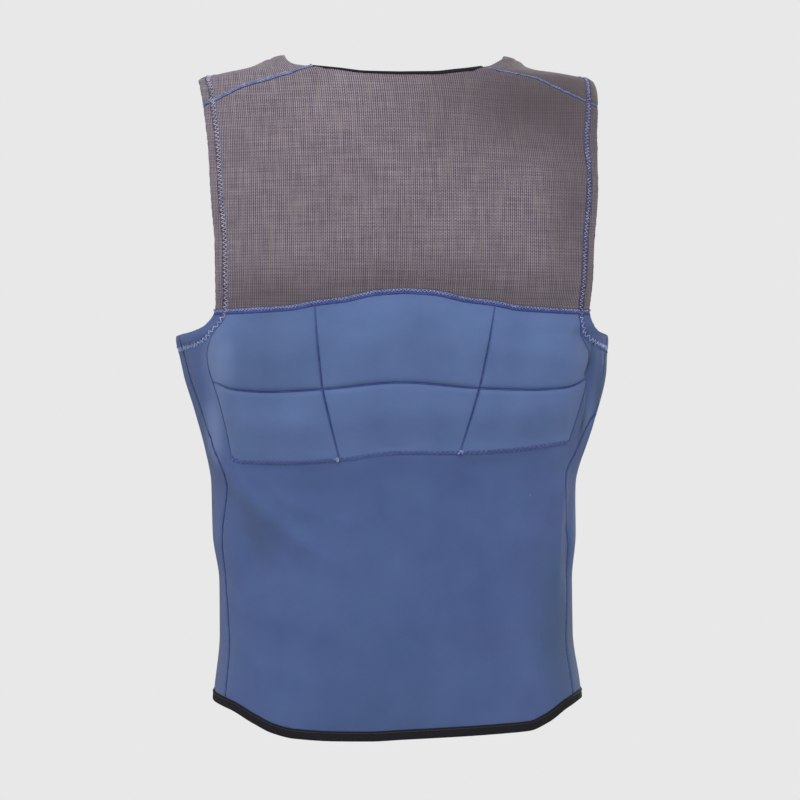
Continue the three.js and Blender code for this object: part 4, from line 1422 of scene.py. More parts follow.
@dataclass
class Body:
    """The blue lower vest: the back from the wavy seam to the hem, and both fronts."""

    room: Workroom
    columns: int = 150
    rows: int = 170
    front_columns: int = 96
    front_rows: int = 140
    underarm_share: float = 3 / 17
    seam_share: float = 0.5
    front_share: float = 0.8

    def build(self) -> None:
        """Builds the three panels."""
        form = self.room.form
        underarm = form.armhole_edge(YOKE_END_BACK, SIDE_TOP, False)
        sides = {side: form.side_curve(side) for side in Side}
        hem = form.hem_between(*(sides[side](np.array(1.0))[0] for side in Side))
        left = joined(mirrored(underarm), sides[Side.LEFT], self.underarm_share)
        right = joined(underarm, sides[Side.RIGHT], self.underarm_share)
        us, vs = crowded(self.columns), crowded(self.rows)
        places = form.sheet(us, vs, form.yoke_curve(), hem, left, right)
        finish = self.room.finishes.jersey
        wall_panel(self.room, "body_back", places, finish, "back_panel")
        for side in Side:
            self.front(side, sides[side])

    def front(self, side: Side, seam: Curve) -> None:
        """Builds one front.

        Args:
            side: Which hand.
            seam: Its side seam.
        """
        form = self.room.form
        bottom = ARMHOLE[-1][0]
        underarm = joined(
            form.armhole_edge(YOKE_END_FRONT, bottom, True),
            form.armhole_edge(bottom, SIDE_TOP, False),
            self.front_share,
        )
        front_seam = form.front_seam_curve()
        top = joined(reversed_way(front_seam), form.paced(underarm), self.seam_share)
        along_zip = form.zip_edge(front_seam(np.array(1.0))[1], form.hem_corner[1])
        if side is Side.LEFT:
            top, along_zip = mirrored(top), mirrored(along_zip)
        hem = form.hem_between(side.value * form.hem_corner[0], seam(np.array(1.0))[0])
        us, vs = crowded(self.front_columns), crowded(self.front_rows)
        places = form.sheet(us, vs, top, hem, along_zip, seam)
        name, node = f"body_front_{side.label}", f"front_panel_{side.label}"
        finish = self.room.finishes.jersey
        wall_panel(self.room, name, places, finish, node)


def swell(shares: Array, size: float, radii: tuple[float, float]) -> Array:
    """A profile that rises from 0 at both ends to 1 inside.

    Args:
        shares: Shares of the way across.
        size: The width in metres.
        radii: How far in from each end it has risen, or 0.

    Returns:
        The heights.
    """
    risen = np.ones_like(shares)
    for away, radius in ((shares * size, radii[0]), ((1 - shares) * size, radii[1])):
        if radius:
            risen = risen * (1 - (1 - np.clip(away / radius, 0, 1)) ** 2)
    return risen


@dataclass(frozen=True)
class Inflation:
    """How the foam swells the cover of a pad in simulation."""

    frames: int = 20
    pressure: float = 6.0
    mass: float = 0.05
    stiffness: float = 25.0
    bending: float = 1.5
    most: float = 1.3 * MM

    def run(self, pad: Object, held: Sequence[int]) -> None:
        """Swells a pad and leaves the result in its mesh.

        Args:
            pad: The pad.
            held: The indices of the vertices that the seams hold.
        """
        group = pad.vertex_groups.new(name="held")
        group.add(list(held), 1.0, "REPLACE")
        cloth = pad.modifiers.new("Cloth", "CLOTH")
        settings = cloth.settings
        settings.quality = 6
        settings.mass = self.mass
        settings.tension_stiffness = settings.compression_stiffness = self.stiffness
        settings.shear_stiffness = self.stiffness / 3
        settings.bending_stiffness = self.bending
        settings.vertex_group_mass = "held"
        settings.use_pressure = True
        settings.uniform_pressure_force = self.pressure
        settings.effector_weights.gravity = 0
        cloth.point_cache.frame_end = self.frames
        scene = bpy.context.scene
        for number in range(1, self.frames + 1):
            scene.frame_set(number)
        count = 3 * len(pad.data.vertices)
        before, after = np.zeros(count, np.float32), np.zeros(count, np.float32)
        pad.data.vertices.foreach_get("co", before)
        evaluated(pad).data.vertices.foreach_get("co", after)
        move = (after - before).reshape(-1, 3)
        length = np.linalg.norm(move, axis=1, keepdims=True)
        log.info("%s swells by up to %.2f mm", pad.name, length.max() / MM)
        move *= np.minimum(1, self.most / np.maximum(length, 1e-9))
        pad.modifiers.remove(cloth)
        pad.vertex_groups.clear()
        pad.data.vertices.foreach_set("co", before + move.ravel())
        pad.data.update()
        scene.frame_set(1)


def smoothed(piece: Object) -> None:
    """Subdivides a piece once and keeps the result as its mesh."""
    modifier = piece.modifiers.new("Subdivision", "SUBSURF")
    modifier.levels = modifier.render_levels = 1
    coarse = piece.data
    piece.data = bpy.data.meshes.new_from_object(evaluated(piece))
    piece.modifiers.clear()
    bpy.data.meshes.remove(coarse)


@dataclass
class PadField:
    """The six sewn pads across the back."""

    room: Workroom
    cell: float = 2.4 * MM
    seat: float = -0.7 * MM
    rim: float = 0.8 * MM
    foam: float = 3.4 * MM
    shoulder: float = 1.8 * MM
    crown: float = 2.6 * MM
    crown_roll: float = 34 * MM
    groove_roll: float = 4.6 * MM
    side_roll: float = 26 * MM
    top_roll: float = 40 * MM
    bottom_roll: float = 38 * MM
    gap: float = 0.3 * MM
    crowding: float = 0.6
    rough: int = 40
    seam_clear: float = 0.0042
    upright: tuple[float, float, float] = (0.403, 0.345, 0.268)
    inflation: Inflation = field(default_factory=Inflation)

    def build(self) -> None:
        """Builds every pad."""
        self.outlines = self.find_outlines()
        for row in Row:
            for slot in Slot:
                self.pad(row, slot)

    def find_outlines(self) -> list[tuple[Line, float]]:
        """The outer edges of the padded field, each with the width of its slope."""
        line = self.room.surface.line
        found = []
        for slot in Slot:
            found.append((line(self.edges(Row.UPPER, slot)[0]), self.top_roll))
            found.append((line(self.edges(Row.LOWER, slot)[1]), self.bottom_roll))
        for row in Row:
            found.append((line(self.edges(row, Slot.LEFT)[2]), self.side_roll))
            found.append((line(self.edges(row, Slot.RIGHT)[3]), self.side_roll))
        return found

    def slope(self, places: Array) -> Array:
        """How far the field has risen from its outer edge, from 0 to 1."""
        points = self.room.form.points(places)
        risen = np.ones(points.shape[:-1])
        for line, roll in self.outlines:
            distance, _ = line.near(points)
            share = np.clip(distance / roll, 0, 1)
            risen = np.minimum(risen, share * share * (3 - 2 * share))
        return risen

    def groove(self, places: Array) -> Array:
        """The height of the bottom of the grooves off the smooth form."""
        soft = self.room.surface.soft(places)
        return soft + self.seat + self.rim + self.foam * self.slope(places)

    def top_down(self, across: Array) -> Array:
        """How far down the top edge of the padded field lies, just clear of the wavy seam."""
        return self.room.form.yoke_down(across) + self.seam_clear

    def ends(self, row: Row, slot: Slot) -> list[tuple[Curve, float, float]]:
        """The two level lines of a pad, each with its left and its right end."""
        form = self.room.form
        lines = (self.top_down, form.middle_down, form.bottom_down)
        found = []
        for index in (row.value, row.value + 1):
            line, out = lines[index], self.upright[index]
            inner = {Slot.LEFT: -out, Slot.RIGHT: out}
            left = form.line_end(line, -1) if slot is Slot.LEFT else inner.get(slot, -out)
            right = form.line_end(line, 1) if slot is Slot.RIGHT else inner.get(slot, out)
            found.append((line, left, right))
        return found

    def side_curve(self, tops: tuple[float, float], bottoms: tuple[float, float], outermost: int) -> Curve:
        """A pad's left or right edge.

        Args:
            tops: Across and down at its upper end.
            bottoms: The same at its lower end.
            outermost: The hand where it is the field's outer edge, or 0.

        Returns:
            The edge, from the top down.
        """
        form = self.room.form

        def curve(k: Array) -> Array:
            """The place at a share of the way."""
            down = between(tops[1], bottoms[1], k)
            if outermost:
                return form.place_reaching(outermost * form.pad_reach[outermost](down), down)
            ends = (across + form.sway_at(form.level_at(low)) for across, low in (tops, bottoms))
            return form.place_across(between(*ends, k) - form.sway_at(form.level_at(down)), down)

        return form.paced(curve)

    def edges(self, row: Row, slot: Slot) -> tuple[Curve, Curve, Curve, Curve]:
        """A pad's top, bottom, left and right edge."""
        form = self.room.form
        ends = self.ends(row, slot)
        level = [form.across_curve(left, right, line) for line, left, right in ends]
        corners = [
            [(across, float(line(across))) for across in (left, right)] for line, left, right in ends
        ]
        left_hand = -1 if slot is Slot.LEFT else 0
        right_hand = 1 if slot is Slot.RIGHT else 0
        left = self.side_curve(corners[0][0], corners[1][0], left_hand)
        right = self.side_curve(corners[0][1], corners[1][1], right_hand)
        return level[0], level[1], left, right

    def pad(self, row: Row, slot: Slot) -> None:
        """Builds one pad."""
        form, surface = self.room.form, self.room.surface
        rough, half = np.linspace(0, 1, self.rough), self.rough // 2
        points = form.points(form.sheet(rough, rough, *self.edges(row, slot)))
        wide, tall = length_of(points[half])[-1], length_of(points[:, half])[-1]
        us, vs = (crowded(round(size / self.cell), self.crowding) for size in (wide, tall))
        inset_u = us * (1 - 2 * self.gap / wide) + self.gap / wide
        inset_v = vs * (1 - 2 * self.gap / tall) + self.gap / tall
        places = form.sheet(inset_u, inset_v, *self.edges(row, slot))
        sides = tuple(0 if slot is end else self.groove_roll for end in (Slot.LEFT, Slot.RIGHT))
        levels = (0, self.groove_roll) if row is Row.UPPER else (self.groove_roll, 0)
        across, down = us[None, :], vs[:, None]
        outer = self.slope(places)
        shoulder = swell(across, wide, sides) * swell(down, tall, levels)
        roll = (self.crown_roll, self.crown_roll)
        crown = swell(across, wide, roll) * swell(down, tall, roll)
        rise = self.rim + outer * (self.foam + self.shoulder * shoulder + self.crown * crown)
        soft = surface.soft(places)
        name = f"pad_{row.label}_{slot.label}"
        made = two_sided(
            name,
            surface.lifted(places, soft + self.seat + rise),
            surface.lifted(places, soft + self.seat),
            self.room.grain(places),
            self.room.finishes.pad,
        )
        self.inflation.run(made, self.held(made, places.shape[:2]))
        smoothed(made)
        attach(made, ROOT)
        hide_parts(f"back_{name}")
        report(made)

    def held(self, pad: Object, shape: tuple[int, int]) -> list[int]:
        """The vertices of a pad's underside and of its sewn rim."""
        under = shape[0] * shape[1]
        rim = {
            index
            for face in pad.data.polygons
            if len({vertex < under for vertex in face.vertices}) > 1
            for index in face.vertices
        }
        return sorted(rim | set(range(under)))


@dataclass
class Bindings:
    """The black tape folded over the back of the neck and over the hem."""

    room: Workroom
    thickness: float = 0.7 * MM
    clear: float = 0.15 * MM
    neck_heights: tuple[float, float] = (1.3 * MM, 3.7 * MM)
    neck_inset: float = 0.004
    neck_stations: int = 120
    hem_height: float = 7.8 * MM
    hem_stations: tuple[int, int, int] = (140, 240, 141)
    around: int = 15

    def build(self) -> None:
        """Builds both tapes."""
        form = self.room.form
        neck = form.neck_curve()(np.linspace(self.neck_inset, 1 - self.neck_inset, self.neck_stations))
        self.tape("binding_neck", neck, 1, np.linspace(*self.neck_heights, len(neck)), "neck_binding")
        parts = []
        for curve, count in zip(form.hem_parts(), self.hem_stations, strict=True):
            parts.append(curve(np.linspace(0, 1, count, endpoint=len(parts) == 2)))
        hem = np.concatenate(parts)
        self.tape("binding_hem", hem, -1, np.full(len(hem), self.hem_height), "hem_binding")

    def profile(self, height: float, out: float) -> Array:
        """The fold of the tape across its length.

        Args:
            height: How far it reaches over the wall.
            out: How far it lies outside the wall.

        Returns:
            Pairs of lift off the outer face and distance beyond the edge.
        """
        wall = self.room.form.wall
        middle, radius = -wall / 2, wall / 2 + out
        turn = np.linspace(0, np.pi, self.around - 4)
        bend = np.stack([middle + radius * np.cos(turn), (radius - wall / 2) * np.sin(turn)], axis=-1)
        legs = np.array([[out * 0.55, -height], [out, -height * 0.86]])
        back = legs[::-1] * np.array([-1, 1]) + np.array([2 * middle, 0])
        return np.concatenate([legs, bend, back])

    def tape(self, name: str, places: Array, wall_side: int, heights: Array, node: str) -> None:
        """Builds one tape.

        Args:
            name: The name of the piece.
            places: The wall's edge, station by station.
            wall_side: 1 where the wall lies below the edge, or -1.
            heights: How far it reaches over the wall, station by station.
            node: The CAD node that it stands for.
        """
        room = self.room
        soft = room.surface.soft(places)
        points = room.surface.lifted(places, soft)
        along = np.gradient(points, axis=0)
        along /= np.linalg.norm(along, axis=1, keepdims=True)
        inward = room.form.points(places + np.outer(heights, [0.0, wall_side]))
        beyond = room.form.points(places) - inward
        beyond -= along * (beyond * along).sum(1, keepdims=True)
        beyond /= np.linalg.norm(beyond, axis=1, keepdims=True)
        out = np.cross(beyond, along)
        facing = (out * room.form.normals(places)).sum(1, keepdims=True)
        out *= np.sign(facing)

        def face(lift: float) -> Array:
            """One face of the tape, by profile point and by station."""
            profile = np.stack([self.profile(height, lift) for height in heights], axis=1)
            return points + profile[..., :1] * out + profile[..., 1:] * beyond

        outer, inner = face(self.clear + self.thickness), face(self.clear)
        gone = length_of(points)
        around = length_of(self.profile(float(heights.max()), self.clear))
        uv = paired(gone[None, :], around[:, None])
        made = two_sided(name, outer, inner, uv, room.finishes.tape)
        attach(made, ROOT)
        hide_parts(node)
        report(made)


@dataclass(frozen=True)
class Stitch:
    """One thread of a seam, in millimetres.

    swing is 0 where it runs straight. beside is how far beside the seam it lies, start is the
    share of a stitch that it starts with, and rise is how far it lies above other threads.
    """

    yarn: Yarn
    pitch: float
    swing: float
    radius: float
    beside: float = 0
    start: float = 0
    rise: float = 0


FLATLOCK = (
    Stitch(Yarn.SHADOW, 3.1, 0, 0.3, -2.4),
    Stitch(Yarn.FADED, 2.7, 0, 0.32, -1.8, 0.4),
    Stitch(Yarn.NAVY, 2.7, 0, 0.5, -1.0),
    Stitch(Yarn.ROYAL, 2.7, 0, 0.5, -0.2, 0.5),
    Stitch(Yarn.ROYAL, 2.7, 0, 0.5, 0.6, 0.2),
    Stitch(Yarn.ROYAL, 2.7, 0, 0.46, 1.35, 0.7),
    Stitch(Yarn.NAVY, 2.7, 0, 0.34, 2.0, 0.1),
    Stitch(Yarn.PALE, 3.1, 0.9, 0.26, -0.7, 0, 0.6),
    Stitch(Yarn.SHADOW, 3.1, 1.2, 0.24, -0.3, 0.5, 0.5),
)
SHOULDER_LEFT_ROWS = (
    Stitch(Yarn.SLATE, 2.7, 0, 0.4, -2.1),
    Stitch(Yarn.SLATE, 2.7, 0, 0.5, -1.4, 0.5),
    Stitch(Yarn.SLATE, 2.7, 0, 0.5, -0.6, 0.2),
    Stitch(Yarn.SLATE, 2.7, 0, 0.46, 0.2, 0.7),
    Stitch(Yarn.NAVY, 2.7, 0, 0.42, 0.9, 0.1),
    Stitch(Yarn.NAVY, 2.7, 0, 0.36, 1.5, 0.4),
    Stitch(Yarn.LILAC, 2.9, 0.9, 0.18, -1.0, 0, 0.4),
)
SHOULDER_RIGHT_ROWS = (
    Stitch(Yarn.SLATE, 2.9, 0, 0.28, -1.1),
    Stitch(Yarn.SLATE, 2.7, 0, 0.36, -0.4, 0.5),
    Stitch(Yarn.TONAL, 2.7, 0, 0.42, 0.3, 0.2),
    Stitch(Yarn.NAVY, 2.7, 0, 0.36, 0.9, 0.7),
)
TURNED_LEFT = (
    Stitch(Yarn.LILAC, 3.7, 2.0, 0.35, 0, 0, 0.35),
    Stitch(Yarn.SHADOW, 3.7, 2.1, 0.34, 0.1, 0.5),
    Stitch(Yarn.SLATE, 4.1, 0, 0.26, -2.2, 0.25),
    Stitch(Yarn.SHADOW, 2.9, 0, 0.36, 2.4, 0.75),
)
TURNED_RIGHT = (
    Stitch(Yarn.LILAC, 3.2, 1.9, 0.3, 0, 0, 0.4),
    Stitch(Yarn.ROYAL, 3.2, 2.2, 0.4, 0.1, 0.5),
    Stitch(Yarn.SHADOW, 2.9, 0, 0.5, -2.4, 0.25),
    Stitch(Yarn.SHADOW, 2.9, 0, 0.5, 2.4, 0.75),
    Stitch(Yarn.NAVY, 2.9, 0, 0.5, -0.6),
    Stitch(Yarn.NAVY, 2.9, 0, 0.5, 0.8, 0.4),
)
TURNED_BLUE = (
    Stitch(Yarn.PALE, 3.8, 2.0, 0.34, 0, 0, 0.2),
    Stitch(Yarn.TONAL, 3.8, 2.2, 0.36, 0.1, 0.5),
    Stitch(Yarn.TONAL, 2.9, 0, 0.4, 2.5, 0.25),
)
SIDE = (
    Stitch(Yarn.NAVY, 3.0, 0, 0.5),
    Stitch(Yarn.ROYAL, 3.0, 0, 0.3, 0.7, 0.5),
    Stitch(Yarn.NAVY, 3.0, 0.9, 0.24),
)
PAD_BOTTOM = (
    Stitch(Yarn.ROYAL, 4.4, 1.9, 0.34, 0.6, 0, 0.25),
    Stitch(Yarn.FADED, 4.4, 1.7, 0.22, 0.6, 0.35, 0.35),
)
PAD_SIDE = (Stitch(Yarn.NAVY, 3.0, 0, 0.24, 0.4),)
PAD_GROOVE = (Stitch(Yarn.ROYAL, 3.2, 0, 0.42),)
TAPE_ROW = (Stitch(Yarn.BLACK, 3.0, 0, 0.26),)


@dataclass
class Stitching:
    """Every visible thread, laid on the sewn surface."""

    room: Workroom
    pads: PadField
    legs: int = 4
    sunk: float = 0.45
    weld: float = 1e-7
    tuft_threads: int = 5
    tuft_steps: int = 9
    tuft_stray: float = 0.55 * MM
    tuft_radius: float = 0.2 * MM
    tuft_lift: float = 1.2 * MM
    tape_row_in: float = 1.8 * MM

    def build(self) -> None:
        """Sews every seam."""
        form = self.room.form
        yoke, front = form.yoke_curve(), form.front_seam_curve()
        left, right = form.shoulders[Side.LEFT], form.shoulders[Side.RIGHT]
        self.sew("stitch_yoke", [yoke], FLATLOCK)
        self.sew("stitch_shoulder_left", [mirrored(reversed_way(left))], SHOULDER_LEFT_ROWS)
        self.sew("stitch_shoulder_right", [right], SHOULDER_RIGHT_ROWS)
        self.sew("stitch_front_seams", [reversed_way(front), mirrored(front)], FLATLOCK)
        self.sew("stitch_sides", [form.side_curve(side) for side in Side], SIDE)
        self.turned_edges()
        self.pad_seams()
        self.tape_rows()

    def turned_edges(self) -> None:
        """Sews the turned edges of the armholes."""
        form = self.room.form
        top, bottom = ARMHOLE[0][0], ARMHOLE[-1][0]
        inset = self.room.surface.turned
        lefts, rights, blue = [], [], []
        for on_front, end in ((False, YOKE_END_BACK), (True, YOKE_END_FRONT)):
            inwards = -inset if on_front else inset
            for right, left, edge in (
                (rights, lefts, form.armhole_edge(top, end, on_front)),
                (blue, blue, form.armhole_edge(end, bottom, on_front)),
            ):
                right.append(self.inset(edge, inwards))
                left.append(self.inset(mirrored(edge), -inwards))
        self.sew("stitch_armhole_left", lefts, TURNED_LEFT)
        self.sew("stitch_armhole_right", rights, TURNED_RIGHT)
        self.sew("stitch_underarms", blue, TURNED_BLUE)

    def inset(self, curve: Curve, away: float) -> Curve:
        """A curve moved sideways over the surface, to the side that beside counts as positive."""
        return lambda k: self.beside(curve(k), np.broadcast_to(away, np.shape(k)))

    def beside(self, places: Array, away: Array) -> Array:
        """Places moved sideways off a run of places.

        Args:
            places: The run.
            away: How far each place moves.

        Returns:
            The moved places. A run to the right moves down.
        """
        form = self.room.form
        points = form.points(places)
        along = np.gradient(points, axis=0)
        along /= np.linalg.norm(along, axis=1, keepdims=True)
        across = np.cross(along, form.normals(places))
        return form.moved(places, across * away[:, None])

    def run(self, curve: Curve, row: Stitch, lift: Curve | None = None) -> Array:
        """The points of one thread.

        Args:
            curve: The seam.
            row: How the thread runs.
            lift: How far off the smooth form it lies at a place. None lays it on the wall.

        Returns:
            The points.
        """
        form = self.room.form
        length = length_of(form.points(curve(np.linspace(0, 1, 200))))[-1]
        count = max(2, round(length / (row.pitch * MM)))
        steps = count * self.legs
        k = np.linspace(0, 1, steps + 1)
        phase = (k * count + row.start) % 1
        if row.swing:
            swing = row.swing * MM * (2 * np.abs(2 * phase - 1) - 1)
            arch = 1 - np.abs(2 * np.abs(2 * phase - 1) - 1) ** 2
        else:
            swing = np.zeros_like(k)
            arch = np.sin(np.pi * phase) ** 0.5
        places = self.beside(curve(k), swing + row.beside * MM)
        height = row.radius * MM * (1.5 * arch - self.sunk) + row.rise * MM
        if lift is None:
            base = self.room.surface.lifts(places)[0]
        else:
            base = lift(places)
        return self.room.surface.lifted(places, base + height)

    def sew(
        self, name: str, curves: Sequence[Curve], rows: Sequence[Stitch], lift: Curve | None = None
    ) -> None:
        """Sews some seams with the same rows, one piece for each thread colour.

        Args:
            name: The name of the piece.
            curves: The seams.
            rows: The threads.
            lift: As for run.
        """
        for yarn in dict.fromkeys(row.yarn for row in rows):
            threads = [row for row in rows if row.yarn is yarn]
            runs = [(self.run(at, row, lift), row.radius * MM) for at in curves for row in threads]
            self.threads(f"{name}_{yarn.label}", runs, yarn)

    def threads(self, name: str, runs: Sequence[tuple[Array, float]], yarn: Yarn) -> None:
        """Makes one piece of some threads.

        Args:
            name: The name of the piece.
            runs: The points of each thread, with its radius.
            yarn: Its colour.
        """
        widest = max(radius for _, radius in runs)
        data = bpy.data.curves.new(name, "CURVE")
        data.dimensions = "3D"
        data.bevel_depth = widest
        data.bevel_resolution = 0
        data.use_fill_caps = True
        for points, radius in runs:
            spline = data.splines.new("POLY")
            spline.points.add(len(points) - 1)
            ones = np.ones((len(points), 1))
            spline.points.foreach_set("co", np.hstack([points, ones]).ravel())
            spline.points.foreach_set("radius", np.full(len(points), radius / widest))
        drawn = link(bpy.data.objects.new(name + "_drawn", data))
        mesh = bpy.data.meshes.new_from_object(evaluated(drawn))
        bpy.data.objects.remove(drawn)
        bm = bmesh.new()
        bm.from_mesh(mesh)
        bpy.data.meshes.remove(mesh)
        bmesh.ops.remove_doubles(bm, verts=bm.verts[:], dist=self.weld)
        face_outwards(bm)
        made = object_from(bm, name, self.room.finishes.threads[yarn])
        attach(made, ROOT)
        report(made)

    def pad_seams(self) -> None:
        """Sews the grooves between the pads and the edge of the padded field."""
        grooves, bottoms, sides = [], [], []
        for slot in Slot:
            _, middle, _, _ = self.pads.edges(Row.UPPER, slot)
            _, bottom, _, _ = self.pads.edges(Row.LOWER, slot)
            grooves.append(middle)
            bottoms.append(bottom)
        for row in Row:
            _, _, left, right = self.pads.edges(row, Slot.CENTRE)
            grooves += [left, right]
            sides.append(reversed_way(self.pads.edges(row, Slot.RIGHT)[3]))
            sides.append(self.pads.edges(row, Slot.LEFT)[2])
        self.sew("stitch_grooves", grooves, PAD_GROOVE, self.pads.groove)
        self.sew("stitch_pad_bottom", bottoms, PAD_BOTTOM)
        self.sew("stitch_pad_sides", sides, PAD_SIDE)
        self.tufts([self.pads.edges(Row.LOWER, Slot.CENTRE)[i](np.array([0.99])) for i in (2, 3)])

    def tufts(self, ends: Sequence[Array]) -> None:
        """Leaves loose thread at the lower ends of the upright grooves.

        Args:
            ends: The places of those ends.
        """
        rng = np.random.default_rng(SEED)
        surface = self.room.surface
        runs = []
        for end in ends:
            root = surface.lifted(end, surface.soft(end) + self.tuft_lift)
            out = self.room.form.normals(end)
            for _ in range(self.tuft_threads):
                way = np.cumsum(rng.normal(0, self.tuft_stray, (self.tuft_steps, 3)), axis=0)
                off = (way * out).sum(1, keepdims=True)
                runs.append((root + way + out * (np.abs(off) - off), self.tuft_radius))
        self.threads("stitch_tufts", runs, Yarn.PALE)

    def tape_rows(self) -> None:
        """Sews the row of black stitches that holds the hem's tape."""
        bindings = Bindings(self.room)
        height = bindings.hem_height - self.tape_row_in
        rise = bindings.clear + bindings.thickness
        runs = [self.inset(curve, -height) for curve in self.room.form.hem_parts()]
        self.sew("stitch_hem", runs, TAPE_ROW, lambda at: self.room.surface.soft(at) + rise)


@dataclass
class FrontZip:
    """The front zip: tape, moulded teeth, slider and pull."""

    room: Workroom
    recess: float = 1.0 * MM
    tape_thickness: float = 1.2 * MM
    tape_half: float = 9.7 * MM
    tape_stations: int = 220
    tape_columns: int = 13
    ridge_height: float = 0.35 * MM
    ridge_width: float = 2.4 * MM
    tooth_pitch: float = 2.9 * MM
    tooth_side: float = 1.15 * MM
    tooth_lift: float = 0.6 * MM
    tooth_bevel: float = 0.28 * MM
    teeth_clear: tuple[float, float] = (2 * MM, 10 * MM)
    tooth_size: tuple[float, float, float] = (4.4 * MM, 1.25 * MM, 2.6 * MM)
    slider_size: tuple[float, float, float] = (10 * MM, 14 * MM, 4.6 * MM)
    slider_down: float = 1 * MM
    slider_lift: float = 0.4 * MM
    slider_bevel: float = 0.45 * MM
    bridge_radius: float = 0.9 * MM
    bridge_half: float = 3.2 * MM
    bridge_sunk: float = 0.4 * MM
    pull_length: float = 23 * MM
    pull_width: float = 7 * MM
    pull_thickness: float = 1.8 * MM
    pull_taper: float = 0.8
    pull_hole: float = 2.1 * MM
    pull_bevel: float = 0.4 * MM
    pull_lift: float = 1.6 * MM
    pull_slant: float = 11.0

    def build(self) -> None:
        """Builds the zip's pieces."""
        form = self.room.form
        self.top = float(form.neck_corner[1])
        self.bottom = float(form.hem_corner[1])
        tape = self.tape()
        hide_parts("front_zip")
        for made in (tape, self.teeth(), self.slider(), self.pull()):
            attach(made, ROOT)
            report(made)

    def spine(self, level: Array) -> Array:
        """Places down the middle of the front."""
        return paired(180.0, level)

    def frame_at(self, level: float, lift: float) -> Matrix:
        """Axes at a level of the zip: across, up the zip, and out of the vest."""
        form, surface = self.room.form, self.room.surface
        places = self.spine(np.array([level, level + 1 * MM]))
        points = surface.lifted(places, surface.soft(places) + lift)
        out = Vector(form.normals(places)[0])
        up = Vector(points[0] - points[1])
        up = (up - out * up.dot(out)).normalized()
        across = up.cross(out)
        matrix = Matrix((across, up, out)).transposed().to_4x4()
        matrix.translation = Vector(points[0])
        return matrix

    def tape(self) -> Object:
        """Builds the tape behind the teeth."""
        levels = np.linspace(self.top, self.bottom, self.tape_stations)
        offsets = np.linspace(-self.tape_half, self.tape_half, self.tape_columns)
        stations = [self.frame_at(level, -self.recess) for level in levels]
        across = np.array([matrix.col[0][:3] for matrix in stations])
        out = np.array([matrix.col[2][:3] for matrix in stations])
        centre = np.array([matrix.translation for matrix in stations])
        ridge = self.ridge_height * hump(offsets, self.ridge_width)
        face = centre[:, None] + offsets[None, :, None] * across[:, None]
        outer = face + ridge[None, :, None] * out[:, None]
        inner = face - self.tape_thickness * out[:, None]
        gone = length_of(centre)
        uv = paired(gone[:, None], offsets[None, :])
        return two_sided("zip_tape", outer, inner, uv, self.room.finishes.zip_tape)

    def teeth(self) -> Object:
        """Builds the moulded teeth, from alternate sides."""
        bm = bmesh.new()
        above, below = self.teeth_clear
        start = self.top + self.slider_size[1] + above
        count = int((self.bottom - below - start) / self.tooth_pitch)
        for i in range(2 * count):
            side = 1 if i % 2 else -1
            level = start + i * self.tooth_pitch / 2
            shift = Matrix.Translation((side * self.tooth_side, 0, 0))
            size = Matrix.Diagonal((*self.tooth_size, 1))
            place = self.frame_at(level, -self.recess + self.tooth_lift) @ shift @ size
            bmesh.ops.create_cube(bm, size=1.0, matrix=place)
        round_off(bm, bm.edges[:], self.tooth_bevel, 1)
        return object_from(bm, "zip_teeth", self.room.finishes.plastic, smooth=False)

    def slider(self) -> Object:
        """Builds the slider: a tapered body with a bridge that holds the pull."""
        width, height, thickness = self.slider_size
        level = self.top + self.slider_down + height / 2
        frame_here = self.frame_at(level, -self.recess + self.slider_lift + thickness / 2)
        bm = bmesh.new()
        bmesh.ops.create_cube(bm, size=1.0)
        bmesh.ops.scale(bm, vec=self.slider_size, verts=bm.verts[:])
        low = [vert for vert in bm.verts if vert.co.y < 0]
        bmesh.ops.scale(bm, vec=(0.62, 1, 1), verts=low)
        bmesh.ops.subdivide_edges(bm, edges=bm.edges[:], cuts=2, use_grid_fill=True)
        waist = [vert for vert in bm.verts if abs(vert.co.z) < 0.3 * thickness]
        bmesh.ops.scale(bm, vec=(0.82, 0.96, 1), verts=waist)
        sharp = [edge for edge in bm.edges if edge.calc_face_angle(0) > 0.5]
        round_off(bm, sharp, self.slider_bevel)
        ring = bmesh.ops.create_circle(bm, segments=10, radius=self.bridge_radius)["verts"]
        foot = thickness / 2 - self.bridge_sunk
        arch = Matrix.Translation((0, self.bridge_half, foot))
        bmesh.ops.transform(bm, matrix=arch, verts=ring)
        rim = [edge for edge in bm.edges if all(vert in set(ring) for vert in edge.verts)]
        half_turn = {"cent": (0, 0, foot), "axis": (1, 0, 0), "angle": math.pi, "steps": 12}
        bmesh.ops.spin(bm, geom=rim, use_merge=False, **half_turn)
        bmesh.ops.holes_fill(bm, edges=[edge for edge in bm.edges if edge.is_boundary], sides=0)
        bmesh.ops.transform(bm, matrix=frame_here, verts=bm.verts[:])
        bmesh.ops.recalc_face_normals(bm, faces=bm.faces[:])
        return object_from(bm, "zip_slider", self.room.finishes.plastic)

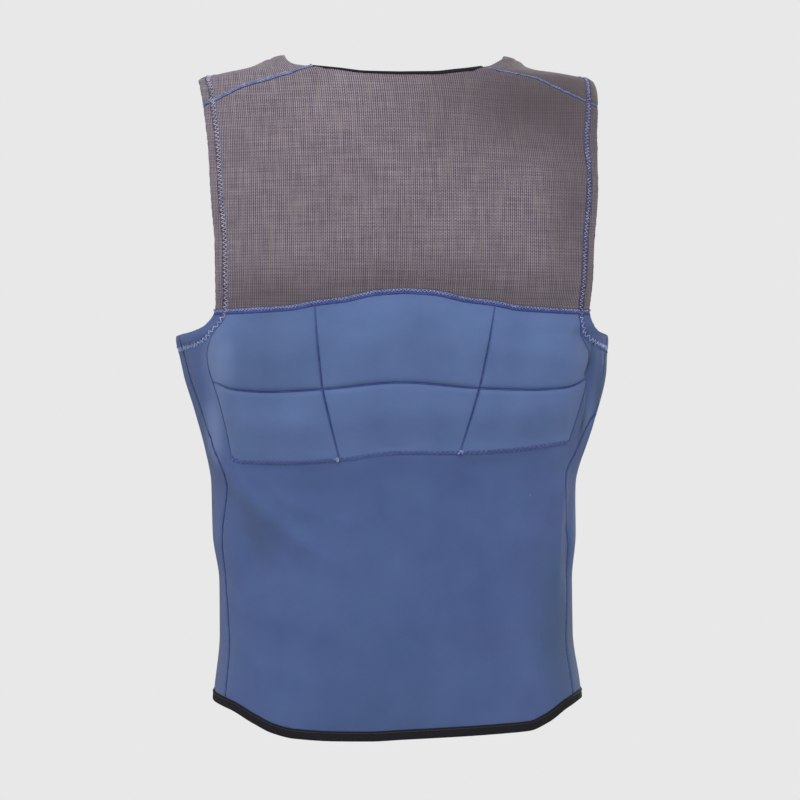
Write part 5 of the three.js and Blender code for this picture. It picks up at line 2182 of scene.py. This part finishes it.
    def pull(self) -> Object:
        """Builds the pull: a rounded tab with a hole, hanging from the slider's bridge."""
        height = self.slider_size[1]
        level = self.top + self.slider_down + height / 2
        lift = -self.recess + self.slider_size[2] + self.pull_lift
        frame_here = self.frame_at(level, lift)
        bm = bmesh.new()
        end = self.pull_width / 2
        rim = bmesh.ops.create_circle(bm, segments=32, radius=end)["verts"]
        for vert in rim:
            if vert.co.y > 1e-6:
                vert.co.y += self.pull_length - 2 * end
                vert.co.x *= self.pull_taper
        bmesh.ops.translate(bm, vec=(0, end - self.pull_length, 0), verts=rim)
        hole = bmesh.ops.create_circle(bm, segments=32, radius=self.pull_hole)["verts"]
        bmesh.ops.translate(bm, vec=(0, end - self.pull_length, 0), verts=hole)
        bmesh.ops.bridge_loops(bm, edges=bm.edges[:])
        grown = bmesh.ops.extrude_face_region(bm, geom=bm.faces[:])["geom"]
        raised = [part for part in grown if isinstance(part, BMVert)]
        bmesh.ops.translate(bm, vec=(0, 0, self.pull_thickness), verts=raised)
        face_outwards(bm)
        sharp = [edge for edge in bm.edges if edge.calc_face_angle(0) > 1.2]
        round_off(bm, sharp, self.pull_bevel)
        slanted = frame_here @ Matrix.Rotation(math.radians(self.pull_slant), 4, "X")
        bmesh.ops.transform(bm, matrix=slanted, verts=bm.verts[:])
        return object_from(bm, "zip_pull", self.room.finishes.plastic)


@dataclass
class Studio:
    """The camera at the photograph's angle, soft lights, and the pale floor and backdrop."""

    azimuth: float = -2.5
    distance: float = 2.6
    aim: tuple[float, float, float] = (0.0, 0.0, -0.2874)
    seen: float = 0.7016
    sensor: float = 36.0
    floor_height: float = -1.1
    floor_radius: float = 2.2
    backdrop: Colour = linear(232, 232, 232)
    ambient: float = 0.36

    def build(self) -> None:
        """Builds the studio."""
        self.camera()
        self.world()
        self.light("key", (-0.1, -2.45, 1.8), 0.9, 93)
        self.light("left", (-2.4, -0.5, 0.2), 1.0, 19)
        self.light("right", (2.4, -0.6, 0.0), 1.2, 15)
        self.light("top", (-0.2, -0.3, 2.2), 1.6, 18)
        self.light("behind", (0.9, 2.4, 0.9), 1.6, 45)
        self.floor()

    def camera(self) -> None:
        """Places the camera."""
        turn = math.radians(self.azimuth)
        away = Vector((math.sin(turn), -math.cos(turn), 0)) * self.distance
        data = bpy.data.cameras.new("camera")
        data.sensor_width = self.sensor
        data.lens = self.sensor * self.distance / self.seen
        made = link(bpy.data.objects.new("camera", data))
        made.location = Vector(self.aim) + away
        made.rotation_euler = (-away).to_track_quat("-Z", "Y").to_euler()
        bpy.context.scene.camera = made

    def world(self) -> None:
        """Lights the scene evenly from all sides, in front of a plain backdrop."""
        world = bpy.data.worlds.new("studio")
        world.use_nodes = True
        bpy.context.scene.world = world
        nodes = Nodes(world.node_tree)
        seen = nodes.node("ShaderNodeLightPath").outputs["Is Camera Ray"]
        plain = {"Color": self.backdrop}
        around = nodes.node("ShaderNodeBackground", None, plain | {"Strength": self.ambient})
        behind = nodes.node("ShaderNodeBackground", None, plain | {"Strength": 1.0})
        mixed = nodes.node(
            "ShaderNodeMixShader", None, {0: seen, 1: around.outputs[0], 2: behind.outputs[0]}
        )
        nodes.node("ShaderNodeOutputWorld", None, {"Surface": mixed.outputs[0]})
        bpy.context.scene.view_settings.view_transform = "Standard"

    def light(self, name: str, place: tuple[float, float, float], size: float, power: float) -> None:
        """Hangs a soft square light that faces the vest.

        Args:
            name: Its name.
            place: Where it hangs.
            size: Its width.
            power: Its watts.
        """
        data = bpy.data.lights.new(name, "AREA")
        data.size = size
        data.energy = power
        made = link(bpy.data.objects.new(name, data))
        made.location = place
        towards = Vector(self.aim) - Vector(place)
        made.rotation_euler = towards.to_track_quat("-Z", "Y").to_euler()

    def floor(self) -> None:
        """Lays the floor."""
        bm = bmesh.new()
        bmesh.ops.create_circle(bm, cap_ends=True, segments=96, radius=self.floor_radius)
        bmesh.ops.translate(bm, vec=(0, 0, self.floor_height), verts=bm.verts[:])
        object_from(bm, "studio_floor", PaleFloor().make(), smooth=False)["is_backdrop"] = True


def write_sizes() -> None:
    """Works out the box of the CAD model and of the visual model, as plain lists."""
    boxes = {"cad": CAD_BOX, "visual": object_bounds()}
    plain = {name: [list(corner) for corner in box] for name, box in boxes.items()}


def main() -> None:
    """Builds the vest and the studio."""
    logging.basicConfig(level=logging.INFO, format="%(message)s")
    form = VestForm()
    room = Workroom(form, VestSurface(form), Grain(form), Wardrobe())
    Yoke(room).build()
    Body(room).build()
    pads = PadField(room)
    pads.build()
    Bindings(room).build()
    FrontZip(room).build()
    Stitching(room, pads).build()
    Studio().build()
    write_sizes()


if __name__ == "__main__":
    main()
